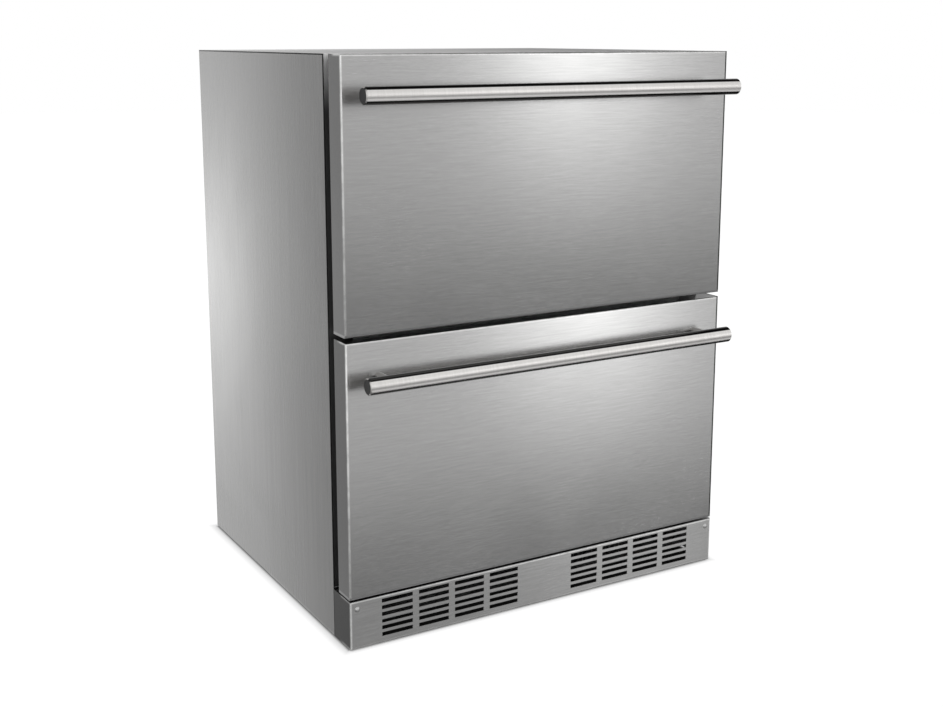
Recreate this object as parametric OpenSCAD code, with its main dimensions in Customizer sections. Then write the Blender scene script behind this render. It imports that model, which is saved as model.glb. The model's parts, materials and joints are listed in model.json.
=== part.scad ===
// Undercounter refrigerator: a steel cabinet with two full-width drawers, a
// toe grille and round bar handles. Millimetres. X runs to the right as seen
// from the front, Y runs to the back and Z runs up. The origin is on the
// floor, under the middle of the box that the cabinet and its handles fill.

/* [Cabinet] */
// Width of the cabinet, of both drawer fronts and of the grille
body_w = 686; // [660:1:760]
// Height from the cabinet's bottom edge to its top
body_h = 872; // [860:1:920]
// Depth of the cabinet behind its front edge
cabinet_d = 529; // [520:1:600]
// Height of the cabinet's bottom edge above the floor
foot_gap = 3; // [1:0.5:8]
// Insulated wall, from its outer face to the inner face of the liner
wall_t = 38; // [34:1:44]
// Thickness of the stainless skins
skin_t = 1.2; // [0.8:0.1:2]
// Thickness of the inner liner
liner_t = 2; // [1:0.5:3]
// Depth of the machine compartment at the lower back
machine_d = 190; // [180:1:205]
// Height of the machine compartment above the cabinet's bottom edge
machine_h = 228; // [220:1:240]
// Depth of the centre rail behind the cabinet's front edge
rail_d = 45; // [30:1:60]

/* [Drawer fronts] */
// Thickness of a drawer front
front_t = 39; // [32:0.5:46]
// Space for the gasket between a drawer front and the cabinet
gasket_space = 18.5; // [14:0.5:24]
// Height of the lower drawer front
lower_front_h = 389.5; // [380:0.5:400]
// Gap between the two drawer fronts
drawer_gap = 7.5; // [5:0.5:10]
// Radius of the folded edges of the fronts and of the grille
fold_r = 2.4; // [2.2:0.1:4]
// Distance of the gasket's outer edge from the edge of its front
gasket_inset = 8; // [6:0.5:12]
// Width of the gasket
gasket_w = 18; // [14:0.5:20]
// Depth of the grooves between the gasket's folds
gasket_groove = 4; // [2:0.5:6]
// How far a drawer front's inner plug reaches behind the cabinet's front edge
plug_depth = 15; // [8:1:20]
// Clearance round the plug in its opening
plug_clear = 4; // [3:0.5:6]

/* [Handles] */
// Diameter of the handle bar
bar_d = 25; // [20:0.5:30]
// Distance of the bar's axis from the face of its drawer front
bar_reach = 41; // [40:1:55]
// Distance of the bar's ends from the edges of its front
bar_inset = 14; // [2:1:30]
// Height of the bar's axis below the top edge of its front
bar_drop = 55; // [40:1:70]
// Width of the chamfer at the bar's ends
bar_chamfer = 1.5; // [0.5:0.5:3]
// Diameter of the handle's posts
post_d = 16; // [12:0.5:20]
// Distance of a post's axis from the edge of its front
post_inset = 52; // [40:1:80]

/* [Toe grille] */
// Height of the grille
grille_h = 75.5; // [74:0.5:82]
// Gap between the grille and the lower drawer front
grille_gap = 2.5; // [2:0.5:5]
// Width of the lip along the grille's bottom edge
grille_lip = 15; // [8:1:20]
// Length of a slot
slot_l = 52; // [40:1:60]
// Height of a slot
slot_h = 6; // [3:0.5:7]
// Distance from one column of slots to the next
slot_step_x = 62.7; // [62:0.1:68]
// Distance from one row of slots to the next
slot_step_z = 10.7; // [9:0.1:11]
// Distance of the outer slots' ends from the grille's edges
slot_margin = 52; // [45:1:60]
// Height of the lowest slot above the grille's bottom edge
slot_foot = 11; // [10:0.5:13]
// Distance of a grille screw from the grille's edge
screw_inset = 11.5; // [10:0.5:14]
// Height of the grille screws above the grille's bottom edge
screw_up = 63; // [50:1:66]
// Diameter of a screw's head
screw_head_d = 8.5; // [7:0.5:10]
// Diameter of a screw's shank
screw_shank_d = 4; // [3:0.5:5]
// Length of a screw's shank under its head
screw_l = 10; // [6:1:14]

/* [Bins and slides] */
// Height left free above the upper bin, for the controls and the light
upper_head_room = 53; // [40:1:90]
// Height left free above the lower bin, under the centre rail
lower_head_room = 45.5; // [30:0.5:90]
// Thickness of a bin's walls
bin_t = 3; // [2:0.5:5]
// Clearance under a bin
bin_foot = 6; // [4:0.5:12]
// Clearance behind a bin
bin_back = 16; // [10:1:24]
// Radius of a bin's upright inner corners
bin_round = 4; // [3:0.5:8]
// Clearance between the liner's back and the slides
slide_back = 23; // [10:1:60]
// Height of the slides' fixed members
slide_h = 45; // [38:1:50]
// Thickness of the slides' sheet
slide_t = 1.5; // [1.2:0.1:2]
// Space for a slide between the liner and the bin
slide_space = 12.5; // [12:0.1:15]
// Clearance between one slide member and the next
slide_clear = 0.5; // [0.3:0.1:0.7]
// Height of the slides' middle below the bin's top edge
slide_drop = 50; // [45:1:70]
// Distance of the slides' front ends behind the drawer's plug
slide_start = 3; // [2:0.5:5]

/* [Cooling] */
// Depth of the evaporator's duct on the back wall
duct_d = 60; // [56:1:66]
// Clearance between the duct and the liner's sides
duct_side = 20; // [16:1:30]
// Clearance above the duct
duct_top = 8; // [4:1:20]
// Diameter of the evaporator fan
air_fan_d = 100; // [80:1:120]
// Distance of the evaporator fan's axis below the ceiling
air_fan_drop = 130; // [90:1:140]
// Diameter of the condenser fan
cond_fan_d = 144; // [120:1:150]
// Distance of the air divider from the cabinet's middle
divider_x = 20; // [10:1:30]
// Diameter of the compressor's can
comp_d = 140; // [120:1:144]
// Height of the compressor on its mounts
comp_h = 156; // [140:1:160]
// Distance of the compressor's axis from the cabinet's side
comp_side = 153; // [150:1:165]
// Height of the compressor's rubber mounts
mount_h = 10; // [8:0.5:12]
// Diameter of the refrigerant lines
line_d = 8; // [6:0.5:9]
// Bend radius of the refrigerant lines
line_bend = 12; // [11:0.5:14]
// Diameter of the drain tube
drain_d = 16; // [12:0.5:20]
// Diameter of the hole in the cord gland
gland_hole_d = 9; // [7:0.5:12]

/* [Controls] */
// Width of the control housing
control_w = 200; // [180:1:260]
// Height of the control housing
control_h = 20; // [18:0.5:22]
// Width of a button
button_w = 14; // [10:1:18]
// Height of a button
button_h = 9; // [7:0.5:11]
// How far a button stands out of the housing
button_proud = 1.5; // [1:0.1:2]
// Travel of a button
button_travel = 1.2; // [0.8:0.1:1.4]

/* [Feet] */
// Diameter of a foot's threaded stem
stem_d = 10; // [8:0.5:14]
// Length of a foot's stem above its pad
stem_l = 50; // [44:1:52]
// Diameter of a foot's pad
pad_d = 38; // [30:1:44]
// Height of a foot's pad
pad_h = 10; // [9:0.5:14]
// Distance of the feet from the cabinet's sides
foot_inset = 55; // [50:1:70]
// Distance of the feet from the cabinet's front edge and back
foot_depth = 45; // [35:1:50]
// Distance between the two tie-down holes in the back flange
tie_step = 300; // [200:1:400]
// Diameter of a tie-down hole
tie_hole_d = 6.5; // [5:0.5:9]

/* [Hidden] */
$fn = 64;

// Running clearance between a shaft and its bore, on the radius
fit_clear = 0.05;
// Clearance between seated pieces and between guided flat faces
seat_clear = 0.3;
// Sheet of the base pan, bulkhead, divider and other inner parts
pan_t = 1.5;

// Flange of the cord gland, which stands out behind the cabinet
gland_flange_t = 4;

// Places along Y
overall_d = bar_reach + bar_d / 2 + front_t + gasket_space + cabinet_d + gland_flange_t;
y_face = -overall_d / 2 + bar_reach + bar_d / 2;
y_front_back = y_face + front_t;
y_cab = y_front_back + gasket_space;
y_back = y_cab + cabinet_d;
y_liner_back = y_back - wall_t;
y_duct = y_liner_back - duct_d;
y_riser = y_back - machine_d;
y_step = y_riser + pan_t - wall_t;
y_plug = y_cab + plug_depth;
y_slide = y_plug + slide_start;

// Places along Z
z_bottom = foot_gap;
z_top = z_bottom + body_h;
z_grille_top = z_bottom + grille_h;
z_lower = z_grille_top + grille_gap;
z_lower_top = z_lower + lower_front_h;
z_upper = z_lower_top + drawer_gap;
z_pan = pad_h + seat_clear;
z_floor = z_lower + wall_t;
z_ceiling = z_top - wall_t;
z_machine_top = z_bottom + machine_h;
z_step = z_machine_top + wall_t;
rail_land = 4;
z_rail = z_lower_top - gasket_inset - gasket_w - rail_land;
z_rail_top = z_upper + gasket_inset + gasket_w + rail_land;

// Widths
inner_w = body_w - 2 * wall_t;
skins_w = body_w - 2 * skin_t;
bin_w = inner_w - 2 * slide_space;

// Bins and slides
z_bin_lower = z_floor + bin_foot;
z_bin_upper = z_rail_top + bin_foot;
bin_h_lower = z_rail - lower_head_room - z_bin_lower;
bin_h_upper = z_ceiling - upper_head_room - z_bin_upper;
bin_d_upper = y_duct - bin_back - y_plug;
bin_d_lower = y_step - bin_back - y_plug;
bin_notch = 60;
slide_l = y_liner_back - slide_back - y_slide;

// Machine compartment
y_machine = y_back - machine_d / 2;
y_pass = y_liner_back - duct_d / 2;
y_hot = 2 * y_machine - y_pass;
z_pan_top = z_pan + pan_t;
z_comp = z_pan_top + mount_h;
z_comp_top = z_comp + comp_h;
z_port = z_comp_top + 4;
plate_t = 3;
plate_w = 150;
plate_d = 120;
grommet_x = 62;
grommet_y = 48;
grommet_d = 18;
port_off = 35;
comp_x = body_w / 2 - comp_side;
x_suction = -comp_x - port_off;
x_discharge = -comp_x + port_off;
x_hot = body_w / 2 - 103;
x_liquid = body_w / 2 - 81;
x_drain = body_w / 2 - 203;
fan_clear = 3;
z_cond_fan = z_pan_top + cond_fan_d / 2 + 12;

// Condenser and evaporator coils
cond_d = 116;
cond_h = 50;
cond_rows = 6;
y_cond = y_cab + 28;
z_cond_tube = z_pan_top + cond_h / 2;
duct_w = inner_w - 2 * duct_side;
evap_end = 95;
evap_l = duct_w - 2 * evap_end;
evap_d = 36;
evap_rows = 7;
row_step = 20;
evap_h = evap_rows * row_step + 8;
z_evap = z_step + 150;
tail_l = 14;
fin_step = 9.5;
fin_t = 0.8;
x_cond_end = x_hot - line_bend - 4;
x_cond = x_cond_end - tail_l;
cond_l = x_cond - (divider_x + pan_t + row_step / 2 + line_d / 2 + 3);

// Feet
x_foot = body_w / 2 - foot_inset;
y_foot_front = y_cab + foot_depth;
y_foot_back = y_back - foot_depth;
socket_d = 18;
socket_h = stem_l - pan_t + 2;

// ---------------------------------------------------------------- shapes

// Box between two opposite corners
module block(low, high) {
    translate(low) cube(high - low);
}

// Round rod from one point to another
module rod(from, to, r) {
    way = to - from;
    translate(from)
        rotate([0, acos(way.z / norm(way)), atan2(way.y, way.x)])
            cylinder(h = norm(way), r = r);
}

function unit(v) = v / norm(v);

// Quarter bend of a tube at a corner, from direction u to direction w
module elbow(corner, u, w, bend, r) {
    c = corner - bend * u + bend * w;
    n = cross(u, w);
    multmatrix([[-w.x, u.x, n.x, c.x], [-w.y, u.y, n.y, c.y], [-w.z, u.z, n.z, c.z], [0, 0, 0, 1]])
        rotate_extrude(angle = 90) translate([bend, 0]) circle(r);
}

// Tube along points that turn by right angles
module tube_run(points, bend, r) {
    last = len(points) - 1;
    for (i = [0:last - 1]) {
        u = unit(points[i + 1] - points[i]);
        start = points[i] + (i > 0 ? bend : 0) * u;
        end = points[i + 1] - (i + 1 < last ? bend : 0) * u;
        rod(start, end, r);
        if (i + 1 < last) elbow(points[i + 1], u, unit(points[i + 2] - points[i + 1]), bend, r);
    }
}

// Block whose front edges, at y = 0, are rounded; it runs back to y = d
module soft_block(w, d, h, r) {
    intersection() {
        linear_extrude(h) union() {
            translate([-w / 2, r]) square([w, d - r]);
            translate([-w / 2 + r, 0]) square([w - 2 * r, d]);
            for (s = [-1, 1]) translate([s * (w / 2 - r), r]) circle(r);
        }
        translate([-w / 2, 0, 0]) rotate([90, 0, 90]) linear_extrude(w) union() {
            translate([r, 0]) square([d - r, h]);
            translate([0, r]) square([d, h - 2 * r]);
            for (z = [r, h - r]) translate([r, z]) circle(r);
        }
    }
}

// Sheet pan that is open at the back, folded from sheet of thickness t
module folded_pan(w, d, h, r, t) {
    difference() {
        soft_block(w, d, h, r);
        translate([0, t, t]) soft_block(w - 2 * t, d, h - 2 * t, r - t);
    }
}

// Rectangle with round corners, from the origin
module round_rect(w, d, r) {
    translate([r, 0]) square([w - 2 * r, d]);
    translate([0, r]) square([w, d - 2 * r]);
    for (x = [r, w - r], y = [r, d - r]) translate([x, y]) circle(r);
}

// Ring frame in the XZ plane between y0 and y1; the hole is inset by `in`
module ring_frame(w, z0, z1, y0, y1, in) {
    difference() {
        block([-w / 2, y0, z0], [w / 2, y1, z1]);
        block([-w / 2 + in, y0 - 1, z0 + in], [w / 2 - in, y1 + 1, z1 - in]);
    }
}

// Finned coil: tubes along X in one plane, joined by half-round bends.
// step is the vector from one tube to the next; the fins are size fin.
module finned_coil(length, rows, step, fin, r) {
    gap = norm(step);
    for (i = [0:rows - 1]) {
        first = i == 0 ? -tail_l : 0;
        last = i == rows - 1;
        from = (i % 2 == 0 ? first : (last ? -tail_l : 0));
        to = length + (i % 2 == 0 && last ? tail_l : 0);
        rod([from, 0, 0] + i * step, [to, 0, 0] + i * step, r);
        if (!last) {
            side = i % 2 == 0 ? 1 : -1;
            translate((i + 0.5) * step + [i % 2 == 0 ? length : 0, 0, 0])
                rotate(step.z > 0 ? [90, 0, 0] : [0, 0, 0])
                    rotate([0, 0, side > 0 ? -90 : 90])
                        rotate_extrude(angle = 180) translate([gap / 2, 0]) circle(r);
        }
    }
    fins = floor((length - fin_t) / fin_step);
    fin_from = (length - fins * fin_step - fin_t) / 2;
    middle = (rows - 1) / 2 * step;
    for (k = [0:fins])
        translate([fin_from + k * fin_step, middle.y - fin.x / 2, middle.z - fin.y / 2])
            cube([fin_t, fin.x, fin.y]);
}

// Fan wheel about Z: a bored hub with pitched flat blades
module fan_wheel(tip_r, hub_r, bore_r, depth, chord, blades, pitch) {
    blade_t = 1.6;
    difference() {
        cylinder(h = depth, r = hub_r, center = true);
        cylinder(h = depth + 2, r = bore_r, center = true);
    }
    for (k = [0:blades - 1]) rotate([0, 0, k * 360 / blades]) intersection() {
        translate([(hub_r + tip_r) / 2, 0, 0]) rotate([pitch, 0, 0])
            cube([tip_r - hub_r + 6, chord, blade_t], center = true);
        difference() {
            cylinder(h = chord, r = tip_r, center = true);
            cylinder(h = chord + 2, r = hub_r - 1, center = true);
        }
    }
}

// Pan-head screw whose head rests at the origin and whose shank runs along +Y
module pan_screw() {
    dome = 2.6;
    head_r = screw_head_d / 2;
    ball_r = (head_r * head_r + dome * dome) / (2 * dome);
    rotate([90, 0, 0]) {
        intersection() {
            cylinder(h = dome, r = head_r);
            translate([0, 0, dome - ball_r]) sphere(ball_r);
        }
        translate([0, 0, -screw_l]) cylinder(h = screw_l, r = screw_shank_d / 2);
    }
}

// Clearance hole for a screw, through a sheet at the origin
module screw_hole() {
    rotate([90, 0, 0]) cylinder(h = 8, r = screw_shank_d / 2 + 0.2, center = true);
}

// Places that more than one piece needs
module at_grille_screws() {
    for (s = [-1, 1])
        translate([s * (body_w / 2 - screw_inset), y_face, z_bottom + screw_up]) children();
}

// Upright flange of the base pan at the back, with the tie-down holes
tie_up = 14;
z_tie = z_pan + tie_up;
flange_h = 40;
cover_inset = 40;
cover_lap = 12;
y_cover = y_back - pan_t;
module at_cover_screws() {
    for (x = [-1, 1], z = [z_machine_top - cover_lap / 2, z_pan + flange_h - cover_lap / 2])
        translate([x * (body_w / 2 - cover_inset), y_back, z]) rotate([0, 0, 180]) children();
}

module at_feet() {
    for (x = [-x_foot, x_foot], y = [y_foot_front, y_foot_back]) translate([x, y, 0]) children();
}

// Upright holes where the lines and the drain pass through the step
module step_passes() {
    for (x = [x_suction, x_liquid])
        translate([x, y_pass, z_machine_top - 20]) cylinder(h = wall_t + 40, r = line_d / 2 + seat_clear);
    translate([x_drain, y_pass, z_machine_top - 20]) cylinder(h = wall_t + 40, r = drain_d / 2 + seat_clear);
}

// ---------------------------------------------------------------- cabinet

hem_d = 12;

module side_panel(s) {
    x_out = s * body_w / 2;
    x_in = s * (body_w / 2 - skin_t);
    color([0.66, 0.66, 0.65]) {
        block([min(x_out, x_in), y_cab, z_bottom], [max(x_out, x_in), y_back, z_top]);
        // hem along the front edge, folded back against the inside
        block([min(x_in, x_in - s * skin_t), y_cab + pan_t, z_floor],
              [max(x_in, x_in - s * skin_t), y_cab + pan_t + hem_d, z_ceiling]);
    }
}

module left_side_panel() { side_panel(-1); }
module right_side_panel() { side_panel(1); }

module top_panel() {
    color([0.66, 0.66, 0.65])
        block([-skins_w / 2, y_cab, z_top - skin_t], [skins_w / 2, y_back, z_top]);
}

module rear_panel() {
    color([0.6, 0.6, 0.6])
        block([-skins_w / 2, y_back - skin_t, z_machine_top], [skins_w / 2, y_back, z_top - skin_t]);
}

// Sheet under the insulation: floor, riser and ceiling of the compartment
module bulkhead() {
    color([0.62, 0.64, 0.65]) difference() {
        union() {
            block([-skins_w / 2, y_cab, z_lower], [skins_w / 2, y_riser + pan_t, z_lower + pan_t]);
            block([-skins_w / 2, y_riser, z_lower], [skins_w / 2, y_riser + pan_t, z_machine_top + pan_t]);
            block([-skins_w / 2, y_riser, z_machine_top], [skins_w / 2, y_back - skin_t, z_machine_top + pan_t]);
            // flange behind the machine cover's top edge
            block([-skins_w / 2, y_cover - pan_t, z_machine_top - cover_lap], [skins_w / 2, y_cover, z_machine_top]);
        }
        step_passes();
        at_cover_screws() screw_hole();
    }
}

// Base with side flanges, whose front arms carry the grille
module base_pan() {
    tab_w = 26;
    arm_top = z_bottom + screw_up + 6;
    half = skins_w / 2;
    color([0.5, 0.51, 0.52]) difference() {
        union() {
            block([-half, y_cab, z_pan], [half, y_cover, z_pan_top]);
            block([-half, y_cover - pan_t, z_pan], [half, y_cover, z_pan + flange_h]);
            // the arms are rounded where they lie in the grille's fold
            intersection() {
                translate([0, y_face + skin_t, z_bottom + skin_t])
                    soft_block(skins_w, overall_d, grille_h - 2 * skin_t, fold_r);
                for (s = [-1, 1]) {
                    x_in = s * (half - pan_t);
                    block([min(s * half, x_in), y_face, z_pan], [max(s * half, x_in), y_cover, arm_top]);
                    x_tab = s * (half - tab_w);
                    block([min(s * half, x_tab), y_face, z_pan + 20],
                          [max(s * half, x_tab), y_face + skin_t + pan_t, arm_top]);
                }
            }
        }
        at_grille_screws() screw_hole();
        at_cover_screws() screw_hole();
        at_feet() cylinder(h = 4 * z_pan, r = stem_d / 2 + 0.5, center = true);
        for (s = [-1, 1])
            translate([s * tie_step / 2, y_cover, z_tie]) rotate([90, 0, 0])
                cylinder(h = 4 * pan_t, r = tie_hole_d / 2, center = true);
    }
}

// Foam between the skins and the liner, stepped over the compartment
module insulation() {
    low = z_lower + pan_t;
    step_low = z_machine_top + pan_t;
    half = skins_w / 2;
    liner_half = inner_w / 2 + liner_t;
    y_front = y_cab + pan_t;
    y_in = y_liner_back + liner_t;
    color([0.93, 0.88, 0.66]) difference() {
        union() {
            block([-half, y_front, low], [half, y_riser, z_top - skin_t]);
            block([-half, y_front, step_low], [half, y_back - skin_t, z_top - skin_t]);
        }
        block([-liner_half, y_front - 1, z_floor - liner_t],
              [liner_half, y_step + liner_t, z_ceiling + liner_t]);
        block([-liner_half, y_front - 1, z_step - liner_t], [liner_half, y_in, z_ceiling + liner_t]);
        for (s = [-1, 1]) {
            hem_in = s * (half - skin_t - seat_clear);
            block([min(s * half, hem_in) - 1, y_front - 1, z_floor - seat_clear],
                  [max(s * half, hem_in) + 1, y_front + hem_d + seat_clear, z_ceiling + seat_clear]);
        }
        step_passes();
    }
}

module inner_liner() {
    half = inner_w / 2;
    y_front = y_cab + pan_t;
    color([0.9, 0.91, 0.92]) difference() {
        union() {
            block([-half - liner_t, y_front, z_floor - liner_t],
                  [half + liner_t, y_step + liner_t, z_ceiling + liner_t]);
            block([-half - liner_t, y_front, z_step - liner_t],
                  [half + liner_t, y_liner_back + liner_t, z_ceiling + liner_t]);
        }
        block([-half, y_front - 1, z_floor], [half, y_step, z_ceiling]);
        block([-half, y_front - 1, z_step], [half, y_liner_back, z_ceiling]);
        step_passes();
    }
}

// Flat steel frame that the gaskets close against
module front_frame() {
    color([0.55, 0.55, 0.55]) difference() {
        block([-skins_w / 2, y_cab, z_lower + pan_t], [skins_w / 2, y_cab + pan_t, z_top - skin_t]);
        block([-inner_w / 2, y_cab - 1, z_floor], [inner_w / 2, y_cab + pan_t + 1, z_ceiling]);
    }
}

module centre_rail() {
    color([0.6, 0.6, 0.6])
        block([-inner_w / 2, y_cab, z_rail], [inner_w / 2, y_cab + rail_d, z_rail_top]);
}

slot_columns = 4;
slot_rows = 6;

module toe_grille() {
    group_w = (slot_columns - 1) * slot_step_x + slot_l;
    color([0.6, 0.6, 0.6]) difference() {
        translate([0, y_face, z_bottom])
            folded_pan(body_w, front_t + gasket_space, grille_h, fold_r, skin_t);
        // open underside behind the lip
        block([-skins_w / 2, y_face + grille_lip, z_bottom - 1], [skins_w / 2, y_cab + 1, z_bottom + fold_r]);
        for (x0 = [-body_w / 2 + slot_margin, body_w / 2 - slot_margin - group_w],
             i = [0:slot_columns - 1], k = [0:slot_rows - 1])
            translate([x0 + i * slot_step_x, y_face - 1, z_bottom + slot_foot + k * slot_step_z])
                cube([slot_l, skin_t + 2, slot_h]);
        at_grille_screws() screw_hole();
    }
}

module pan_screws() {
    color([0.8, 0.8, 0.8]) {
        at_grille_screws() pan_screw();
        at_cover_screws() pan_screw();
    }
}

louvre_l = 60;
louvre_h = 5;
louvre_step = 14;
louvre_rows = 8;
louvre_foot = 20;
louvre_gap = 80;

module machine_cover() {
    half = skins_w / 2;
    x_louvre = -comp_x + 10;
    color([0.35, 0.36, 0.37]) difference() {
        block([-half, y_cover, z_pan + flange_h - cover_lap], [half, y_back, z_machine_top - seat_clear]);
        for (x = [x_louvre, x_louvre + louvre_gap, divider_x + louvre_gap], k = [0:louvre_rows - 1])
            translate([x - louvre_l / 2, y_cover - 1, z_pan + flange_h + louvre_foot + k * louvre_step])
                cube([louvre_l, pan_t + 2, louvre_h]);
        at_cover_screws() screw_hole();
        translate([x_gland, y_back, z_gland]) rotate([90, 0, 0])
            cylinder(h = 10, r = gland_d / 2 + seat_clear, center = true);
    }
}

// ---------------------------------------------------------------- feet

module foot_sockets() {
    color([0.7, 0.7, 0.7]) at_feet() translate([0, 0, z_pan_top]) difference() {
        cylinder(h = socket_h, r = socket_d / 2);
        translate([0, 0, -1]) cylinder(h = socket_h + 2, r = stem_d / 2 + fit_clear);
    }
}

module foot(x, y) {
    edge = 1.5;
    color([0.25, 0.25, 0.26]) translate([x, y, 0]) {
        cylinder(h = edge, r1 = pad_d / 2 - edge, r2 = pad_d / 2);
        translate([0, 0, edge]) cylinder(h = pad_h - edge, r = pad_d / 2);
        translate([0, 0, pad_h]) cylinder(h = stem_l, r = stem_d / 2);
    }
}

module front_left_foot() { foot(-x_foot, y_foot_front); }
module front_right_foot() { foot(x_foot, y_foot_front); }
module rear_left_foot() { foot(-x_foot, y_foot_back); }
module rear_right_foot() { foot(x_foot, y_foot_back); }

// ---------------------------------------------------------------- drawers

module front_skin(z, h) {
    color([0.63, 0.63, 0.62]) translate([0, y_face, z]) folded_pan(body_w, front_t, h, fold_r, skin_t);
}

panel_t = 2;

module front_core(z, h, z0, z1) {
    w = skins_w;
    plug_w = inner_w - 2 * plug_clear - 2 * panel_t;
    color([0.93, 0.88, 0.66]) {
        translate([0, y_face + skin_t, z + skin_t])
            soft_block(w, front_t - skin_t - panel_t, h - 2 * skin_t, fold_r - skin_t);
        block([-plug_w / 2, y_front_back - panel_t, z0 + panel_t],
              [plug_w / 2, y_plug - panel_t, z1 - panel_t]);
    }
}

// Plastic panel that closes the back of a front and forms its plug
module inner_panel(z, h, z0, z1) {
    plug_w = inner_w - 2 * plug_clear;
    color([0.88, 0.89, 0.9]) difference() {
        union() {
            block([-skins_w / 2, y_front_back - panel_t, z + skin_t],
                  [skins_w / 2, y_front_back, z + h - skin_t]);
            block([-plug_w / 2, y_front_back - panel_t, z0], [plug_w / 2, y_plug, z1]);
        }
        block([-plug_w / 2 + panel_t, y_front_back - panel_t - 1, z0 + panel_t],
              [plug_w / 2 - panel_t, y_plug - panel_t, z1 - panel_t]);
    }
}

module gasket(z, h) {
    y0 = y_front_back;
    y1 = y_cab - seat_clear;
    w = body_w - 2 * gasket_inset;
    z0 = z + gasket_inset;
    z1 = z + h - gasket_inset;
    fold = (y1 - y0) / 5;
    color([0.12, 0.12, 0.13]) difference() {
        ring_frame(w, z0, z1, y0, y1, gasket_w);
        for (k = [1, 3])
            difference() {
                block([-w, y0 + k * fold, z0 - 1], [w, y0 + (k + 1) * fold, z1 + 1]);
                block([-w / 2 + gasket_groove, y0, z0 + gasket_groove],
                      [w / 2 - gasket_groove, y1, z1 - gasket_groove]);
            }
    }
}

function bar_z(z, h) = z + h - bar_drop;
bar_l = body_w - 2 * bar_inset;
y_bar = y_face - bar_reach;

module handle_bar(z, h) {
    r = bar_d / 2;
    color([0.86, 0.85, 0.84]) translate([-bar_l / 2, y_bar, bar_z(z, h)]) rotate([0, 90, 0]) {
        cylinder(h = bar_chamfer, r1 = r - bar_chamfer, r2 = r);
        translate([0, 0, bar_chamfer]) cylinder(h = bar_l - 2 * bar_chamfer, r = r);
        translate([0, 0, bar_l - bar_chamfer]) cylinder(h = bar_chamfer, r1 = r, r2 = r - bar_chamfer);
    }
}

// Round posts, each coped to the bar at its front end
module handle_posts(z, h) {
    color([0.8, 0.8, 0.79]) difference() {
        for (s = [-1, 1])
            rod([s * (body_w / 2 - post_inset), y_bar, bar_z(z, h)],
                [s * (body_w / 2 - post_inset), y_face, bar_z(z, h)], post_d / 2);
        translate([-bar_l / 2, y_bar, bar_z(z, h)]) rotate([0, 90, 0]) cylinder(h = bar_l, r = bar_d / 2);
    }
}

// Open bin with a notch in its back wall
module bin(z, depth, height) {
    color([0.86, 0.88, 0.9]) difference() {
        translate([-bin_w / 2, y_plug, z]) cube([bin_w, depth, height]);
        translate([-bin_w / 2 + bin_t, y_plug + bin_t, z + bin_t]) linear_extrude(height)
            round_rect(bin_w - 2 * bin_t, depth - 2 * bin_t, bin_round);
        // the back wall is lower in the middle, so that cold air reaches the bin
        translate([-bin_w / 4, y_plug + depth - bin_t - 1, z + height - bin_notch])
            cube([bin_w / 2, bin_t + 2, bin_notch + 1]);
    }
}

// ---------------------------------------------------------------- slides

// Channel of a slide on one side; u runs from the liner towards the bin.
// The web lies between u0 and u0 + slide_t, the flanges run from u1 to u2.
module slide_channel(s, z, h, u0, u1, u2) {
    half = inner_w / 2;
    module strip(ua, ub, za, zb) {
        xa = s * (half - ua);
        xb = s * (half - ub);
        block([min(xa, xb), y_slide, za], [max(xa, xb), y_slide + slide_l, zb]);
    }
    strip(u0, u0 + slide_t, z - h / 2, z + h / 2);
    strip(u1, u2, z + h / 2 - slide_t, z + h / 2);
    strip(u1, u2, z - h / 2, z - h / 2 + slide_t);
}

middle_h = slide_h - 2 * slide_t - 2 * slide_clear;
inner_h = middle_h - 2 * slide_t - 2 * slide_clear;
middle_u = slide_t + slide_clear;
inner_u = slide_space - slide_t;
z_slide_lower = z_bin_lower + bin_h_lower - slide_drop;
z_slide_upper = z_bin_upper + bin_h_upper - slide_drop;

module slide_outer_members() {
    color([0.72, 0.73, 0.74]) for (s = [-1, 1], z = [z_slide_lower, z_slide_upper])
        slide_channel(s, z, slide_h, 0, 0, slide_space - 1);
}

module middle_members(z) {
    color([0.68, 0.69, 0.7]) for (s = [-1, 1])
        slide_channel(s, z, middle_h, middle_u, middle_u, inner_u - slide_clear);
}

module inner_members(z) {
    color([0.76, 0.77, 0.78]) for (s = [-1, 1])
        slide_channel(s, z, inner_h, inner_u, middle_u + slide_t + slide_clear, slide_space);
}

lower_plug = [z_floor + plug_clear, z_rail - plug_clear];
upper_plug = [z_rail_top + plug_clear, z_ceiling - plug_clear];
upper_front_h = z_top - z_upper;

module upper_front_skin() { front_skin(z_upper, upper_front_h); }
module upper_front_core() { front_core(z_upper, upper_front_h, upper_plug[0], upper_plug[1]); }
module upper_inner_panel() { inner_panel(z_upper, upper_front_h, upper_plug[0], upper_plug[1]); }
module upper_gasket() { gasket(z_upper, upper_front_h); }
module upper_handle_bar() { handle_bar(z_upper, upper_front_h); }
module upper_handle_posts() { handle_posts(z_upper, upper_front_h); }
module upper_bin() { bin(z_bin_upper, bin_d_upper, bin_h_upper); }
module upper_inner_members() { inner_members(z_slide_upper); }
module upper_middle_members() { middle_members(z_slide_upper); }

module lower_front_skin() { front_skin(z_lower, lower_front_h); }
module lower_front_core() { front_core(z_lower, lower_front_h, lower_plug[0], lower_plug[1]); }
module lower_inner_panel() { inner_panel(z_lower, lower_front_h, lower_plug[0], lower_plug[1]); }
module lower_gasket() { gasket(z_lower, lower_front_h); }
module lower_handle_bar() { handle_bar(z_lower, lower_front_h); }
module lower_handle_posts() { handle_posts(z_lower, lower_front_h); }
module lower_bin() { bin(z_bin_lower, bin_d_lower, bin_h_lower); }
module lower_inner_members() { inner_members(z_slide_lower); }
module lower_middle_members() { middle_members(z_slide_lower); }

// ---------------------------------------------------------------- evaporator

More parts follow.
